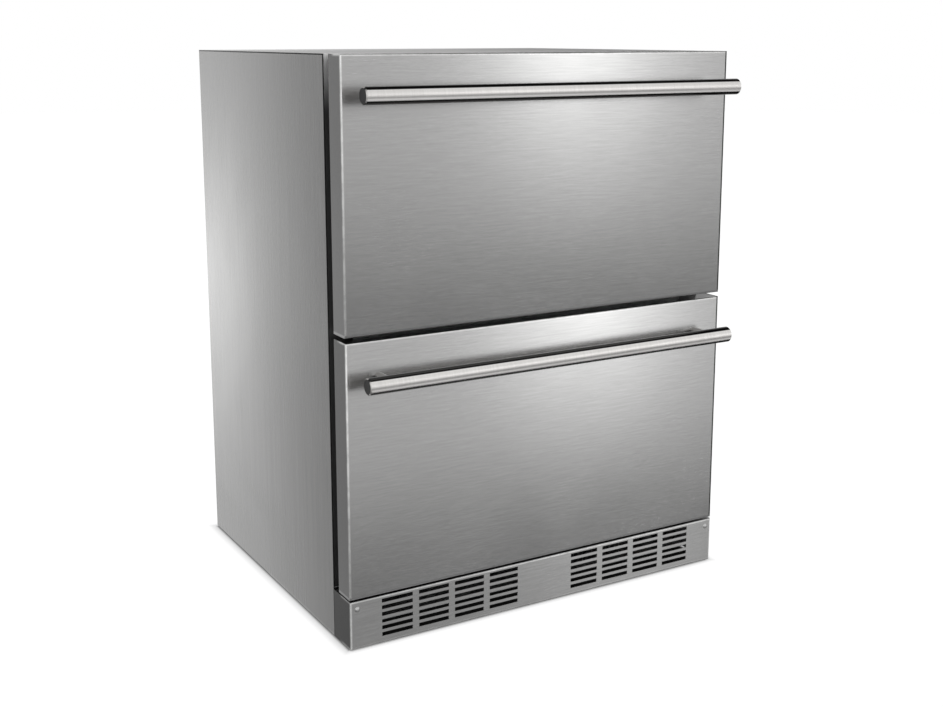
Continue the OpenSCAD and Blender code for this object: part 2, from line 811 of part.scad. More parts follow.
z_air_fan = z_ceiling - air_fan_drop;
air_motor_d = 40;
air_motor_l = 26;
air_shaft_d = 5;
air_wheel_l = 16;
air_hub_d = 24;
air_chord = 22;
duct_t = 2;
outlet_slot = 7;
outlet_step = 10;
return_w = 10;
return_h = 80;
return_up = 30;
return_step = 35;

module evaporator_coil() {
    color([0.75, 0.77, 0.78]) translate([-evap_l / 2, y_pass, z_evap])
        finned_coil(evap_l, evap_rows, [0, 0, row_step], [evap_d, evap_h], line_d / 2);
    // clips that hold the coil on the back wall
    color([0.75, 0.77, 0.78]) for (s = [-1, 1])
        block([s * (evap_l / 2 - 30) - 10, y_pass + evap_d / 2 - 2, z_evap + evap_h / 2 - 40],
              [s * (evap_l / 2 - 30) + 10, y_liner_back, z_evap + evap_h / 2 - 37]);
}

module evaporator_duct() {
    z_duct_top = z_ceiling - duct_top;
    guard_r = air_fan_d / 2 + fan_clear;
    color([0.87, 0.88, 0.89]) difference() {
        block([-duct_w / 2, y_duct, z_step], [duct_w / 2, y_liner_back, z_duct_top]);
        block([-duct_w / 2 + duct_t, y_duct + duct_t, z_step - 1],
              [duct_w / 2 - duct_t, y_liner_back + 1, z_duct_top - duct_t]);
        // outlet in front of the fan
        intersection() {
            translate([0, y_duct, z_air_fan]) rotate([90, 0, 0]) cylinder(h = 10, r = guard_r, center = true);
            for (k = [-5:5])
                translate([-guard_r, y_duct - 1, z_air_fan + k * outlet_step - outlet_slot / 2])
                    cube([2 * guard_r, duct_t + 2, outlet_slot]);
        }
        // return slots near the step
        side_slots = floor((duct_w / 2 - 2 * return_step) / return_step);
        for (k = [-side_slots:side_slots])
            translate([k * return_step - return_w / 2, y_duct - 1, z_step + return_up])
                cube([return_w, duct_t + 2, return_h]);
    }
}

module evaporator_fan_motor() {
    color([0.2, 0.2, 0.22]) {
        rod([0, y_liner_back - air_motor_l, z_air_fan], [0, y_liner_back, z_air_fan], air_motor_d / 2);
        rod([0, y_liner_back - air_motor_l - air_wheel_l - 4, z_air_fan],
            [0, y_liner_back - air_motor_l, z_air_fan], air_shaft_d / 2);
    }
}

module evaporator_fan_blades() {
    color([0.9, 0.9, 0.9])
        translate([0, y_liner_back - air_motor_l - air_wheel_l / 2 - 2, z_air_fan]) rotate([90, 0, 0])
            fan_wheel(air_fan_d / 2, air_hub_d / 2, air_shaft_d / 2 + fit_clear, air_wheel_l, air_chord, 5, 30);
}

// ---------------------------------------------------------------- controls

y_control = y_plug + 7;
control_d = 60;
display_w = 60;
display_h = 11;
button_step = 22;
display_t = 2;
first_button_x = display_w / 2 + 16;
z_control = z_ceiling - control_h / 2;
pocket_d = button_travel + 6;
button_l = 4;

module at_button(k) {
    translate([first_button_x + k * button_step, y_control, z_control]) children();
}

module control_housing() {
    color([0.16, 0.16, 0.17]) difference() {
        block([-control_w / 2, y_control, z_ceiling - control_h], [control_w / 2, y_control + control_d, z_ceiling]);
        block([-display_w / 2, y_control - 1, z_control - display_h / 2],
              [display_w / 2, y_control + display_t, z_control + display_h / 2]);
        for (k = [0:2]) at_button(k)
            block([-button_w / 2 - seat_clear, -1, -button_h / 2 - seat_clear],
                  [button_w / 2 + seat_clear, pocket_d, button_h / 2 + seat_clear]);
    }
}

module control_display() {
    color([0.05, 0.07, 0.09])
        block([-display_w / 2, y_control, z_control - display_h / 2],
              [display_w / 2, y_control + display_t, z_control + display_h / 2]);
}

module button(k) {
    color([0.75, 0.76, 0.78]) at_button(k)
        block([-button_w / 2, -button_proud, -button_h / 2], [button_w / 2, button_l, button_h / 2]);
}

module power_button() { button(0); }
module warmer_button() { button(1); }
module colder_button() { button(2); }

module light_bar() {
    light_w = 300;
    light_d = 18;
    light_h = 8;
    y0 = y_control + control_d + 20;
    color([0.96, 0.97, 0.98]) block([-light_w / 2, y0, z_ceiling - light_h], [light_w / 2, y0 + light_d, z_ceiling]);
}

// ---------------------------------------------------------------- compressor

module at_compressor() {
    translate([-comp_x, y_machine, z_comp]) children();
}

module compressor() {
    r = comp_d / 2;
    round = 34;
    can_h = comp_h - plate_t;
    color([0.1, 0.1, 0.11]) at_compressor() difference() {
        union() {
            translate([0, 0, plate_t]) rotate_extrude() intersection() {
                square([r, can_h]);
                union() {
                    square([r - round, can_h]);
                    translate([0, round / 2]) square([r, can_h - 1.5 * round]);
                    translate([r - round, can_h - round]) circle(round);
                    translate([r - round, 0]) square([round, round]);
                }
            }
            // weld seam round the can
            translate([0, 0, can_h / 2]) cylinder(h = 5, r = r + 3);
            translate([-plate_w / 2, -plate_d / 2, 0]) cube([plate_w, plate_d, plate_t]);
            for (s = [-1, 1])
                translate([s * port_off, s * (y_machine - y_pass), 0]) cylinder(h = z_port - z_comp, r = 7);
        }
        for (x = [-1, 1], y = [-1, 1])
            translate([x * grommet_x, y * grommet_y, -1]) cylinder(h = plate_t + 2, r = 4.2);
    }
}

module compressor_mounts() {
    color([0.08, 0.08, 0.08]) at_compressor() for (x = [-1, 1], y = [-1, 1])
        translate([x * grommet_x, y * grommet_y, -mount_h]) {
            cylinder(h = mount_h, r = grommet_d / 2);
            cylinder(h = mount_h + plate_t, r = 4);
        }
}

module start_box() {
    box_w = 46;
    box_d = 26;
    box_h = 56;
    color([0.15, 0.15, 0.15]) at_compressor() difference() {
        translate([comp_d / 2 - 12, -box_w / 2, plate_t + 10]) cube([box_d, box_w, box_h]);
        cylinder(h = comp_h, r = comp_d / 2 + seat_clear);
        translate([0, 0, (comp_h - plate_t) / 2 - seat_clear]) cylinder(h = 6, r = comp_d / 2 + 3 + seat_clear);
    }
}

// ---------------------------------------------------------------- condenser

module condenser_coil() {
    color([0.7, 0.71, 0.72]) translate([x_cond, y_cond, z_cond_tube]) mirror([1, 0, 0])
        finned_coil(cond_l, cond_rows, [0, row_step, 0], [cond_d, cond_h], line_d / 2);
}

module air_divider() {
    color([0.45, 0.46, 0.47]) difference() {
        union() {
            block([divider_x, y_cab, z_pan_top], [divider_x + pan_t, y_cover - pan_t, z_lower]);
            block([divider_x, y_riser + pan_t, z_pan_top], [divider_x + pan_t, y_cover - pan_t, z_machine_top]);
        }
        translate([divider_x, y_machine, z_cond_fan]) rotate([0, 90, 0])
            cylinder(h = 10, r = cond_fan_d / 2 + fan_clear, center = true);
        translate([divider_x, y_hot, z_hot_run]) rotate([0, 90, 0])
            cylinder(h = 10, r = line_d / 2 + seat_clear, center = true);
    }
}

cond_motor_gap = 34;
cond_motor_x = divider_x + cond_motor_gap;
cond_motor_l = 38;
cond_motor_d = 56;
cond_shaft_d = 6;
cond_wheel_l = 24;
cond_hub_d = 40;
cond_chord = 40;

module condenser_fan_motor() {
    arm_w = 14;
    arm_r = cond_fan_d / 2 + fan_clear + 6;
    color([0.22, 0.22, 0.24]) {
        rod([cond_motor_x, y_machine, z_cond_fan], [cond_motor_x + cond_motor_l, y_machine, z_cond_fan], cond_motor_d / 2);
        rod([divider_x - cond_wheel_l / 2 - 2, y_machine, z_cond_fan], [cond_motor_x, y_machine, z_cond_fan],
            cond_shaft_d / 2);
        for (a = [0, 90, 180]) translate([0, y_machine, z_cond_fan]) rotate([a + 90, 0, 0]) {
            translate([cond_motor_x, -arm_w / 2, 0]) cube([3, arm_w, arm_r]);
            translate([divider_x + pan_t, -arm_w / 2, arm_r - 4]) cube([cond_motor_x - divider_x - pan_t + 3, arm_w, 4]);
        }
    }
}

module condenser_fan_blades() {
    color([0.25, 0.25, 0.26]) translate([divider_x, y_machine, z_cond_fan]) rotate([0, 90, 0])
        fan_wheel(cond_fan_d / 2, cond_hub_d / 2, cond_shaft_d / 2 + fit_clear, cond_wheel_l, cond_chord, 5, 32);
}

module drain_pan() {
    wall = 2;
    tray_h = 26;
    x0 = x_drain - 28;
    x1 = x_hot - line_d / 2 - 12;
    y0 = y_riser + 20;
    y1 = y_back - 16;
    color([0.2, 0.2, 0.2]) difference() {
        block([x0, y0, z_pan_top], [x1, y1, z_pan_top + tray_h]);
        block([x0 + wall, y0 + wall, z_pan_top + wall], [x1 - wall, y1 - wall, z_pan_top + tray_h + 1]);
    }
}

module drain_tube() {
    color([0.85, 0.85, 0.85]) difference() {
        rod([x_drain, y_pass, z_pan_top + 12], [x_drain, y_pass, z_step], drain_d / 2);
        rod([x_drain, y_pass, z_pan_top], [x_drain, y_pass, z_step + 1], drain_d / 2 - 2);
    }
}

// ---------------------------------------------------------------- lines

z_hot_run = z_port + 20;
drier_d = 24;
drier_l = 80;
z_drier = z_pan_top + 74;
y_drier = y_riser + 50;
z_over = z_drier + drier_l + 24;
z_low_run = z_cond_tube;

module filter_drier() {
    cone = 10;
    color([0.72, 0.45, 0.3]) translate([x_liquid, y_drier, z_drier]) {
        cylinder(h = cone, r1 = line_d / 2, r2 = drier_d / 2);
        translate([0, 0, cone]) cylinder(h = drier_l - 2 * cone, r = drier_d / 2);
        translate([0, 0, drier_l - cone]) cylinder(h = cone, r1 = drier_d / 2, r2 = line_d / 2);
    }
}

module refrigerant_lines() {
    r = line_d / 2;
    y_last = y_cond + (cond_rows - 1) * row_step;
    z_evap_top = z_evap + (evap_rows - 1) * row_step;
    x_evap = evap_l / 2 + tail_l;
    color([0.72, 0.43, 0.28]) {
        // suction: from the evaporator down to the compressor
        tube_run([[x_suction, y_pass, z_port], [x_suction, y_pass, z_evap], [-x_evap, y_pass, z_evap]], line_bend, r);
        // discharge: from the compressor over to the condenser
        tube_run([[x_discharge, y_hot, z_port], [x_discharge, y_hot, z_hot_run],
                  [x_hot, y_hot, z_hot_run], [x_hot, y_hot, z_low_run],
                  [x_hot, y_last, z_low_run], [x_cond_end, y_last, z_low_run]], line_bend, r);
        // liquid: from the condenser up to the drier
        tube_run([[x_cond_end, y_cond, z_low_run], [x_liquid, y_cond, z_low_run],
                  [x_liquid, y_drier, z_low_run], [x_liquid, y_drier, z_drier]], line_bend, r);
        // and from the drier up to the evaporator
        tube_run([[x_liquid, y_drier, z_drier + drier_l], [x_liquid, y_drier, z_over],
                  [x_liquid, y_pass, z_over], [x_liquid, y_pass, z_evap_top],
                  [x_evap, y_pass, z_evap_top]], line_bend, r);
    }
}

// ---------------------------------------------------------------- cord gland

gland_d = 22;
gland_flange_d = 32;
gland_l = 24;
x_gland = body_w / 2 - cover_inset - 44;
z_gland = z_pan + flange_h + 90;

module cord_gland() {
    color([0.08, 0.08, 0.08]) translate([x_gland, y_back, z_gland]) rotate([-90, 0, 0]) difference() {
        union() {
            translate([0, 0, -gland_l + gland_flange_t]) cylinder(h = gland_l, r = gland_d / 2);
            cylinder(h = gland_flange_t, r = gland_flange_d / 2);
        }
        translate([0, 0, -gland_l]) cylinder(h = 2 * gland_l, r = gland_hole_d / 2);
    }
}

// ---------------------------------------------------------------- parts

left_side_panel();
right_side_panel();
top_panel();
rear_panel();
bulkhead();
base_pan();
insulation();
inner_liner();
front_frame();
centre_rail();
toe_grille();
pan_screws();
slide_outer_members();
evaporator_coil();
evaporator_duct();
evaporator_fan_motor();
evaporator_fan_blades();
control_housing();
control_display();
power_button();
warmer_button();
colder_button();
light_bar();
compressor();
compressor_mounts();
start_box();
condenser_coil();
air_divider();
condenser_fan_motor();
condenser_fan_blades();
drain_pan();
drain_tube();
filter_drier();
refrigerant_lines();
machine_cover();
cord_gland();
foot_sockets();
front_left_foot();
front_right_foot();
rear_left_foot();
rear_right_foot();
upper_front_skin();
upper_front_core();
upper_inner_panel();
upper_gasket();
upper_handle_bar();
upper_handle_posts();
upper_bin();
upper_inner_members();
upper_middle_members();
lower_front_skin();
lower_front_core();
lower_inner_panel();
lower_gasket();
lower_handle_bar();
lower_handle_posts();
lower_bin();
lower_inner_members();
lower_middle_members();
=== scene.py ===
# %% [markdown]
# # An undercounter refrigerator with two drawers
#
# The refrigerator stands 875 mm high. Its cabinet and its two drawer fronts
# are folded from brushed stainless sheet, each front has a polished bar for a
# handle, and a slotted grille covers the machine compartment at the bottom.
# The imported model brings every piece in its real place. What is left to make
# here is the look of each piece, a few small details that a sheet-metal shop
# would add, and the studio that the refrigerator is photographed in.

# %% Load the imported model
import json
import math

import bmesh
import bpy
from mathutils import Matrix, Vector


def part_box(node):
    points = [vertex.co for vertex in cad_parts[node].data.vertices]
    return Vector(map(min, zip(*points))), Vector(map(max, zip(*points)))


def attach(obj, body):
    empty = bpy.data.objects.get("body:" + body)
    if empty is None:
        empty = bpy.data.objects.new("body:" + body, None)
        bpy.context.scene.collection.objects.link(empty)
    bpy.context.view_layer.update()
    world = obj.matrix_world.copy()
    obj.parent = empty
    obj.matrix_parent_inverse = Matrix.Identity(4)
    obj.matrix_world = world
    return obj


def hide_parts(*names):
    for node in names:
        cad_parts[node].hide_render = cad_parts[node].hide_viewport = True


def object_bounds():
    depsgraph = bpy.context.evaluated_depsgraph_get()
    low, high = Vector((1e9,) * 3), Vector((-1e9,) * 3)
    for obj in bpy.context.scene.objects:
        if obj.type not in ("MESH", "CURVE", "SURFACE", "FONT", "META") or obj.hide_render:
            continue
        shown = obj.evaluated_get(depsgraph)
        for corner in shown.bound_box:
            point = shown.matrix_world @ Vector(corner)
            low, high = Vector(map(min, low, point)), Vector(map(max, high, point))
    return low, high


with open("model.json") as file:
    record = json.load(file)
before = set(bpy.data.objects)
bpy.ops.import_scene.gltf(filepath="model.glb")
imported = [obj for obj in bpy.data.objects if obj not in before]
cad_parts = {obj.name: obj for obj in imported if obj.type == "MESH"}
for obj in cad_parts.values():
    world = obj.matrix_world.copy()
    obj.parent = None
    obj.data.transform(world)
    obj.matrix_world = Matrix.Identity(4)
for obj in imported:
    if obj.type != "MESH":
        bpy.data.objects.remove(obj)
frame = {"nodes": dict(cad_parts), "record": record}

cad_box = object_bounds()
nodes = frame["nodes"]
slots = {part["node"]: part["material_slot"] for part in frame["record"]["subparts"]}
print("pieces:", len(nodes), "box:", [[round(v, 3) for v in corner] for corner in cad_box])

# %% [markdown]
# ## The camera
#
# The photograph looks at the left front corner from a little above the top
# edge, so that the top shows as a thin light strip. A lens of about 50 mm at
# two metres gives that perspective. The frame is moved down a little instead
# of tilting the camera more, which keeps the upright edges nearly parallel,
# as they are in the photograph.

# %% Camera
PHOTO_SIZE = (943, 707)
CAMERA_PLACE = Vector((-1.091, -1.908, 0.900))
CAMERA_TURN = math.radians(30.22)
CAMERA_TILT = math.radians(10.97)
LENS = 49.67

camera_data = bpy.data.cameras.new("camera")
camera_data.lens = LENS
camera_data.sensor_width = 36
camera_data.shift_y = -0.07
camera = bpy.data.objects.new("camera", camera_data)
camera.location = CAMERA_PLACE
look = Vector((
    math.sin(CAMERA_TURN) * math.cos(CAMERA_TILT),
    math.cos(CAMERA_TURN) * math.cos(CAMERA_TILT),
    -math.sin(CAMERA_TILT),
))
camera.rotation_euler = look.to_track_quat("-Z", "Y").to_euler()
bpy.context.scene.collection.objects.link(camera)
bpy.context.scene.camera = camera
print("lens", LENS, "mm, picture", PHOTO_SIZE)

# %% [markdown]
# ## Small helpers for shader trees
#
# Every finish below is a tree of nodes. A helper that makes one node, sets
# its values and joins its inputs keeps each tree short enough to read.

# %% Shader helpers
def add_node(tree, kind, inputs=None, **settings):
    """Makes one node; an input is either a value or an output of another node."""
    made = tree.nodes.new(kind)
    for name, value in settings.items():
        setattr(made, name, value)
    for name, value in (inputs or {}).items():
        socket = made.inputs[name]
        if isinstance(value, bpy.types.NodeSocket):
            tree.links.new(value, socket)
        else:
            socket.default_value = value
    return made


def maths(tree, operation, *values, clamp=False):
    made = add_node(tree, "ShaderNodeMath", dict(enumerate(values)),
                    operation=operation, use_clamp=clamp)
    return made.outputs[0]


def vector_maths(tree, operation, *values, out=0):
    made = add_node(tree, "ShaderNodeVectorMath", dict(enumerate(values)), operation=operation)
    return made.outputs[out]


def spread(tree, value, low, high, new_low=0.0, new_high=1.0, smooth=False):
    """Carries a value from one range into another."""
    made = add_node(
        tree, "ShaderNodeMapRange",
        {"Value": value, "From Min": low, "From Max": high, "To Min": new_low, "To Max": new_high},
        interpolation_type="SMOOTHSTEP" if smooth else "LINEAR",
    )
    return made.outputs["Result"]


def blend_colours(tree, factor, first, second):
    made = tree.nodes.new("ShaderNodeMix")
    made.data_type = "RGBA"
    for index, value in ((0, factor), (6, first), (7, second)):
        if isinstance(value, bpy.types.NodeSocket):
            tree.links.new(value, made.inputs[index])
        else:
            made.inputs[index].default_value = value if index == 0 else grey(value)
    return made.outputs[2]


def grey(value):
    """A colour from one lightness or from three values."""
    if isinstance(value, (int, float)):
        return (value, value, value, 1)
    return (*value[:3], 1)


def new_group(name, inputs, outputs):
    """A node group with named sockets; returns the tree, its input node and its output node."""
    tree = bpy.data.node_groups.new(name, "ShaderNodeTree")
    for label, (kind, value) in inputs.items():
        socket = tree.interface.new_socket(label, in_out="INPUT", socket_type="NodeSocket" + kind)
        if value is not None:
            socket.default_value = value
    for label, kind in outputs.items():
        tree.interface.new_socket(label, in_out="OUTPUT", socket_type="NodeSocket" + kind)
    return tree, tree.nodes.new("NodeGroupInput").outputs, tree.nodes.new("NodeGroupOutput").inputs


def use_group(tree, group, **inputs):
    made = tree.nodes.new("ShaderNodeGroup")
    made.node_tree = group
    for name, value in inputs.items():
        socket = made.inputs[name]
        if isinstance(value, bpy.types.NodeSocket):
            tree.links.new(value, socket)
        else:
            socket.default_value = value
    return made.outputs


# %% [markdown]
# ## Effects that several finishes share
#
# Brushed sheet is drawn under an abrasive belt: fine scratches run one way
# and change along their length only slowly. Noise that is stretched far along
# the grain and left fine across it gives exactly that. Each effect is a node
# group with named inputs, so that the fronts, the sides and the slides can all
# use one grain with their own direction.

# %% Group: brushed grain
grain, given, result = new_group(
    "brushed grain",
    {"Vector": ("Vector", None), "Stretch": ("Vector", (2, 400, 400))},
    {"Streaks": "Float", "Hairlines": "Float", "Height": "Float"},
)
stretched = vector_maths(grain, "MULTIPLY", given["Vector"], given["Stretch"])
broad = add_node(grain, "ShaderNodeTexNoise",
                 {"Vector": stretched, "Scale": 0.35, "Detail": 2.0, "Roughness": 0.55})
fine = add_node(grain, "ShaderNodeTexNoise",
                {"Vector": stretched, "Scale": 1.6, "Detail": 3.0, "Roughness": 0.7})
grain.links.new(spread(grain, broad.outputs["Fac"], 0.3, 0.7), result["Streaks"])
grain.links.new(spread(grain, fine.outputs["Fac"], 0.3, 0.7), result["Hairlines"])
grain.links.new(maths(grain, "ADD", maths(grain, "MULTIPLY", broad.outputs["Fac"], 0.3),
                      fine.outputs["Fac"]), result["Height"])
print("group:", grain.name)

# %% [markdown]
# A soft pool is a smooth round patch: one in its middle and fading to nothing.
# The windows of the room that the steel reflects are such patches.

# %% Group: soft pool
pool, given, result = new_group(
    "soft pool",
    {"Vector": ("Vector", None), "Centre": ("Vector", (0, 0, 0)), "Size": ("Vector", (1, 1, 1))},
    {"Mask": "Float"},
)
EULER = 2.718
from_centre = vector_maths(pool, "SUBTRACT", given["Vector"], given["Centre"])
away = vector_maths(pool, "DIVIDE", from_centre, given["Size"])
distance = vector_maths(pool, "DOT_PRODUCT", away, away, out="Value")
fading = maths(pool, "POWER", EULER, maths(pool, "MULTIPLY", distance, -1.0))
pool.links.new(fading, result["Mask"])
print("group:", pool.name)

# %% [markdown]
# Edges are where hands and cloths pass, so they are polished a little. The
# same mask also carries a painted highlight, the light that a rounded fold
# catches. The group finds them by their distance from the faces of a box,
# which works on any sheet piece without asking its mesh for anything.

# %% Group: worn and highlighted edges
edges, given, result = new_group(
    "worn edges",
    {"Vector": ("Vector", None), "Centre": ("Vector", (0, 0, 0)),
     "Half size": ("Vector", (1, 1, 1)), "Width": ("Float", 0.004)},
    {"Mask": "Float"},
)
offset = vector_maths(edges, "ABSOLUTE",
                      vector_maths(edges, "SUBTRACT", given["Vector"], given["Centre"]))
inside = add_node(edges, "ShaderNodeSeparateXYZ",
                  {"Vector": vector_maths(edges, "SUBTRACT", given["Half size"], offset)}).outputs
near = [maths(edges, "SUBTRACT", 1.0, maths(edges, "DIVIDE", inside[axis], given["Width"]),
              clamp=True) for axis in range(3)]
pairs = [maths(edges, "MULTIPLY", near[a], near[b]) for a, b in ((0, 1), (1, 2), (0, 2))]
edge_mask = maths(edges, "MAXIMUM", maths(edges, "MAXIMUM", pairs[0], pairs[1]), pairs[2])
scuffs = add_node(edges, "ShaderNodeTexNoise",
                  {"Vector": given["Vector"], "Scale": 60.0, "Detail": 2.0}).outputs["Fac"]
edges.links.new(maths(edges, "MULTIPLY", edge_mask, spread(edges, scuffs, 0.3, 0.6, 0.5, 1.0)),
                result["Mask"])
print("group:", edges.name)

# %% [markdown]
# Every surface that people touch or that stands in a kitchen has faint wipe
# marks and dust. They hardly change the colour, but they change how rough it
# is, so the highlights break up softly.

# %% Group: wipe marks
wipes, given, result = new_group(
    "wipe marks", {"Vector": ("Vector", None), "Scale": ("Float", 6.0)},
    {"Cloudy": "Float", "Specks": "Float"},
)
SPECKS_PER_CLOUD = 40.0
cloudy = add_node(wipes, "ShaderNodeTexNoise", {
    "Vector": given["Vector"], "Scale": given["Scale"], "Detail": 3.0, "Distortion": 0.6})
specks = add_node(wipes, "ShaderNodeTexNoise", {
    "Vector": given["Vector"], "Detail": 1.0,
    "Scale": maths(wipes, "MULTIPLY", given["Scale"], SPECKS_PER_CLOUD)})
wipes.links.new(spread(wipes, cloudy.outputs["Fac"], 0.35, 0.65, smooth=True), result["Cloudy"])
wipes.links.new(spread(wipes, specks.outputs["Fac"], 0.58, 0.7), result["Specks"])
print("group:", wipes.name)

# %% [markdown]
# Moulded plastic carries the texture of its tool, an even fine pebble, and
# rubber has the same kind of skin.

# %% Group: moulded skin
skin, given, result = new_group(
    "moulded skin", {"Vector": ("Vector", None), "Grains per metre": ("Float", 900.0)},
    {"Height": "Float", "Tone": "Float"},
)
pebbles = add_node(skin, "ShaderNodeTexVoronoi",
                   {"Vector": given["Vector"], "Scale": given["Grains per metre"]},
                   feature="SMOOTH_F1")
pebbles.inputs["Smoothness"].default_value = 0.8
flow = add_node(skin, "ShaderNodeTexNoise",
                {"Vector": given["Vector"], "Scale": 7.0, "Detail": 3.0})
skin.links.new(pebbles.outputs["Distance"], result["Height"])
skin.links.new(spread(skin, flow.outputs["Fac"], 0.3, 0.7), result["Tone"])
print("group:", skin.name)

# %% [markdown]
# ## How a finish is put together
#
# Each finish is a function that returns one material. They all begin alike:
# a Principled shader, and the object's own coordinates in metres, so a
# pattern has its real size wherever the piece goes.

# %% Start of a finish
def new_material(name):
    material = bpy.data.materials.new(name)
    material.use_nodes = True
    tree = material.node_tree
    shader = tree.nodes["Principled BSDF"]
    where = tree.nodes.new("ShaderNodeTexCoord").outputs["Object"]
    return material, tree, shader, where


def join(tree, shader, **outputs):
    names = {"colour": "Base Color", "roughness": "Roughness", "normal": "Normal",
             "metallic": "Metallic"}
    for name, output in outputs.items():
        tree.links.new(output, shader.inputs[names[name]])


def bump(tree, height, depth, strength=1.0, normal=None):
    made = add_node(tree, "ShaderNodeBump",
                    {"Height": height, "Distance": depth, "Strength": strength})
    if normal is not None:
        tree.links.new(normal, made.inputs["Normal"])
    return made.outputs["Normal"]


# %% [markdown]
# ## Stainless sheet
#
# The fronts and the grille are brushed along their width, the cabinet from
# top to bottom. A direction is three stretches of the grain pattern, one for
# each axis: a small one lies along the grain, a large one across it.
#
# A drawer front is also slightly crowned: pressing and foaming leave the sheet
# a little proud in the middle, and that spreads one window's reflection over a
# whole front. The model is flat, so the crown is a second, very wide bump,
# given by three angles at the edges. They are larger than on a real front, and
# chosen by how far the bright patch spreads in the photograph.

# %% Grain directions and the crown of a front
ALONG_WIDTH = (50, 500, 1100)
UPRIGHT = (800, 800, 7.0)


def slope(degrees):
    return -math.tan(math.radians(degrees))


def crown_height(tree, up, along, half_height, reach, lean, crown, bow):
    """Leaning back, crowned from top to bottom, and bowed from side to side."""
    upward = maths(tree, "MULTIPLY", maths(tree, "MULTIPLY", up, up),
                   slope(crown) / (2 * half_height))
    height = maths(tree, "MULTIPLY_ADD", up, slope(lean), upward)
    return maths(tree, "MULTIPLY_ADD", maths(tree, "MULTIPLY", along, along),
                 slope(bow) / (2 * reach), height)


# %% [markdown]
# The finish itself is a metal with a tone that varies by a few hundredths
# along each streak, and a bump of some micrometres across the grain. Edges
# that people reach from the front are polished brighter and carry a painted
# highlight. The sides of a fold may get painted shade, darker than its face. A
# dark line along one edge is a seam on some sheets and painted shade on
# others, and a sheet may be given painted shade toward its bottom.

# %% Finish: brushed stainless
EDGE_WIDTH = 0.0036
FOLD_START, FOLD_END = 0.0006, 0.0002
# The polished edge tone is wear and a painted highlight at once.
STEEL_TINT, POLISHED_AND_LIT_EDGE = (1.0, 0.997, 0.99), (0.93, 0.93, 0.92)
STREAK_TONE, HAIRLINE_TONE = 0.04, 0.06
GRAIN_DEPTH = 0.00001


def brushed_sheet(name, piece, stretch, tone=0.42, rough=0.20, lean=0.0, crown=0.0, bow=0.0,
                  returns=1.0, edge_wear_and_highlight=0.5, seams_and_shade_lines=(), painted_shade_below=None):
    low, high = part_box(piece)
    centre, half = (low + high) / 2, (high - low) / 2
    across = "X" if half.x > half.y else "Y"
    reach = getattr(half, across.lower())
    material, tree, shader, where = new_material(name)
    marks = use_group(tree, grain, Vector=where, Stretch=stretch)
    cloud = use_group(tree, wipes, Vector=where, Scale=3.0)
    worn_and_lit = use_group(tree, edges, **{"Vector": where, "Centre": centre, "Half size": half,
                                     "Width": EDGE_WIDTH})
    place = add_node(tree, "ShaderNodeSeparateXYZ", {
        "Vector": vector_maths(tree, "SUBTRACT", where, tuple(centre))}).outputs
    up, along = place["Z"], place[across]

    shade = maths(tree, "MULTIPLY_ADD", marks["Streaks"], STREAK_TONE, tone - STREAK_TONE / 2)
    shade = maths(tree, "MULTIPLY_ADD", marks["Hairlines"], HAIRLINE_TONE, shade)
    # Painted shade: the returns of a fold are darker than its face.
    if returns != 1.0:
        off_centre = maths(tree, "ABSOLUTE", along)
        folded = spread(tree, off_centre, reach - FOLD_START, reach - FOLD_END, 1.0, returns)
        shade = maths(tree, "MULTIPLY", shade, folded)
    # Painted shade: darker toward the bottom of the piece.
    if painted_shade_below:
        shade = maths(tree, "MULTIPLY", shade, spread(tree, up, *painted_shade_below, smooth=True))
    colour = blend_colours(tree, shade, (0, 0, 0), STEEL_TINT)
    # Edges at the front are lightened: partly wear, partly a painted highlight.
    front_half = spread(tree, place["Y"], 0.0, 0.01, edge_wear_and_highlight, 0.0)
    edge_wear_and_highlight_mask = maths(tree, "MULTIPLY", worn_and_lit["Mask"], front_half)
    colour = blend_colours(tree, edge_wear_and_highlight_mask, colour, POLISHED_AND_LIT_EDGE)
    # Dark lines along edges: seams on the side panels, painted shade on the fronts.
    for axis, side, width, line_tone in seams_and_shade_lines:
        inward = maths(tree, "SUBTRACT", getattr(half, axis.lower()),
                       maths(tree, "MULTIPLY", place[axis], side))
        on_dark_line = spread(tree, inward, 0.8 * width, width, 1.0, 0.0)
        colour = blend_colours(tree, on_dark_line, colour, line_tone)

    roughness = maths(tree, "MULTIPLY_ADD", marks["Hairlines"], 0.07, rough - 0.03)
    roughness = maths(tree, "MULTIPLY_ADD", cloud["Cloudy"], 0.04, roughness)
    normal = bump(tree, marks["Height"], GRAIN_DEPTH)
    if lean or crown or bow:
        height = crown_height(tree, up, along, half.z, reach, lean, crown, bow)
        normal = bump(tree, height, 1.0, normal=normal)
    join(tree, shader, colour=colour, roughness=roughness, normal=normal)
    shader.inputs["Metallic"].default_value = 1.0
    shader.inputs["Anisotropic"].default_value = 0.6 if stretch is ALONG_WIDTH else 0.4
    shader.inputs["Anisotropic Rotation"].default_value = 0.25 if stretch is ALONG_WIDTH else 0.0
    return material


# %% [markdown]
# The bars and their posts are polished round stock. A polished round shows
# the room as bands along it: the ceiling and the floor as thin dark lines, and
# what lies between them as one bright band. Hands dull the part that faces
# them a little, so that the bright band is softer than the lines, which keep
# the full polish.
#
# The front behind a bar would show in its steep top and underside and wash out
# the dark lines. A real front stands in the bar's own shadow there, so the
# steep parts get a dark tone, a painted reflection, and the lower half a light
# tone, a painted reflection as well. Faces that point along x, the bar's ends
# and the posts' sides, get painted shade. Which part of the round a point is on
# follows from the way the surface faces, and that is the same from every side.

# %% Finish: polished stainless
POLISHED = ((0.64, 0.625, 0.61), (0.70, 0.685, 0.67))
# Tones of the painted bright reflection, the painted dark reflection and the painted end shade.
PAINTED_BRIGHT_REFLECTION, PAINTED_DARK_REFLECTION, PAINTED_END_SHADE = (0.97, 0.95, 0.94), (0.07, 0.068, 0.066), (0.04, 0.04, 0.04)


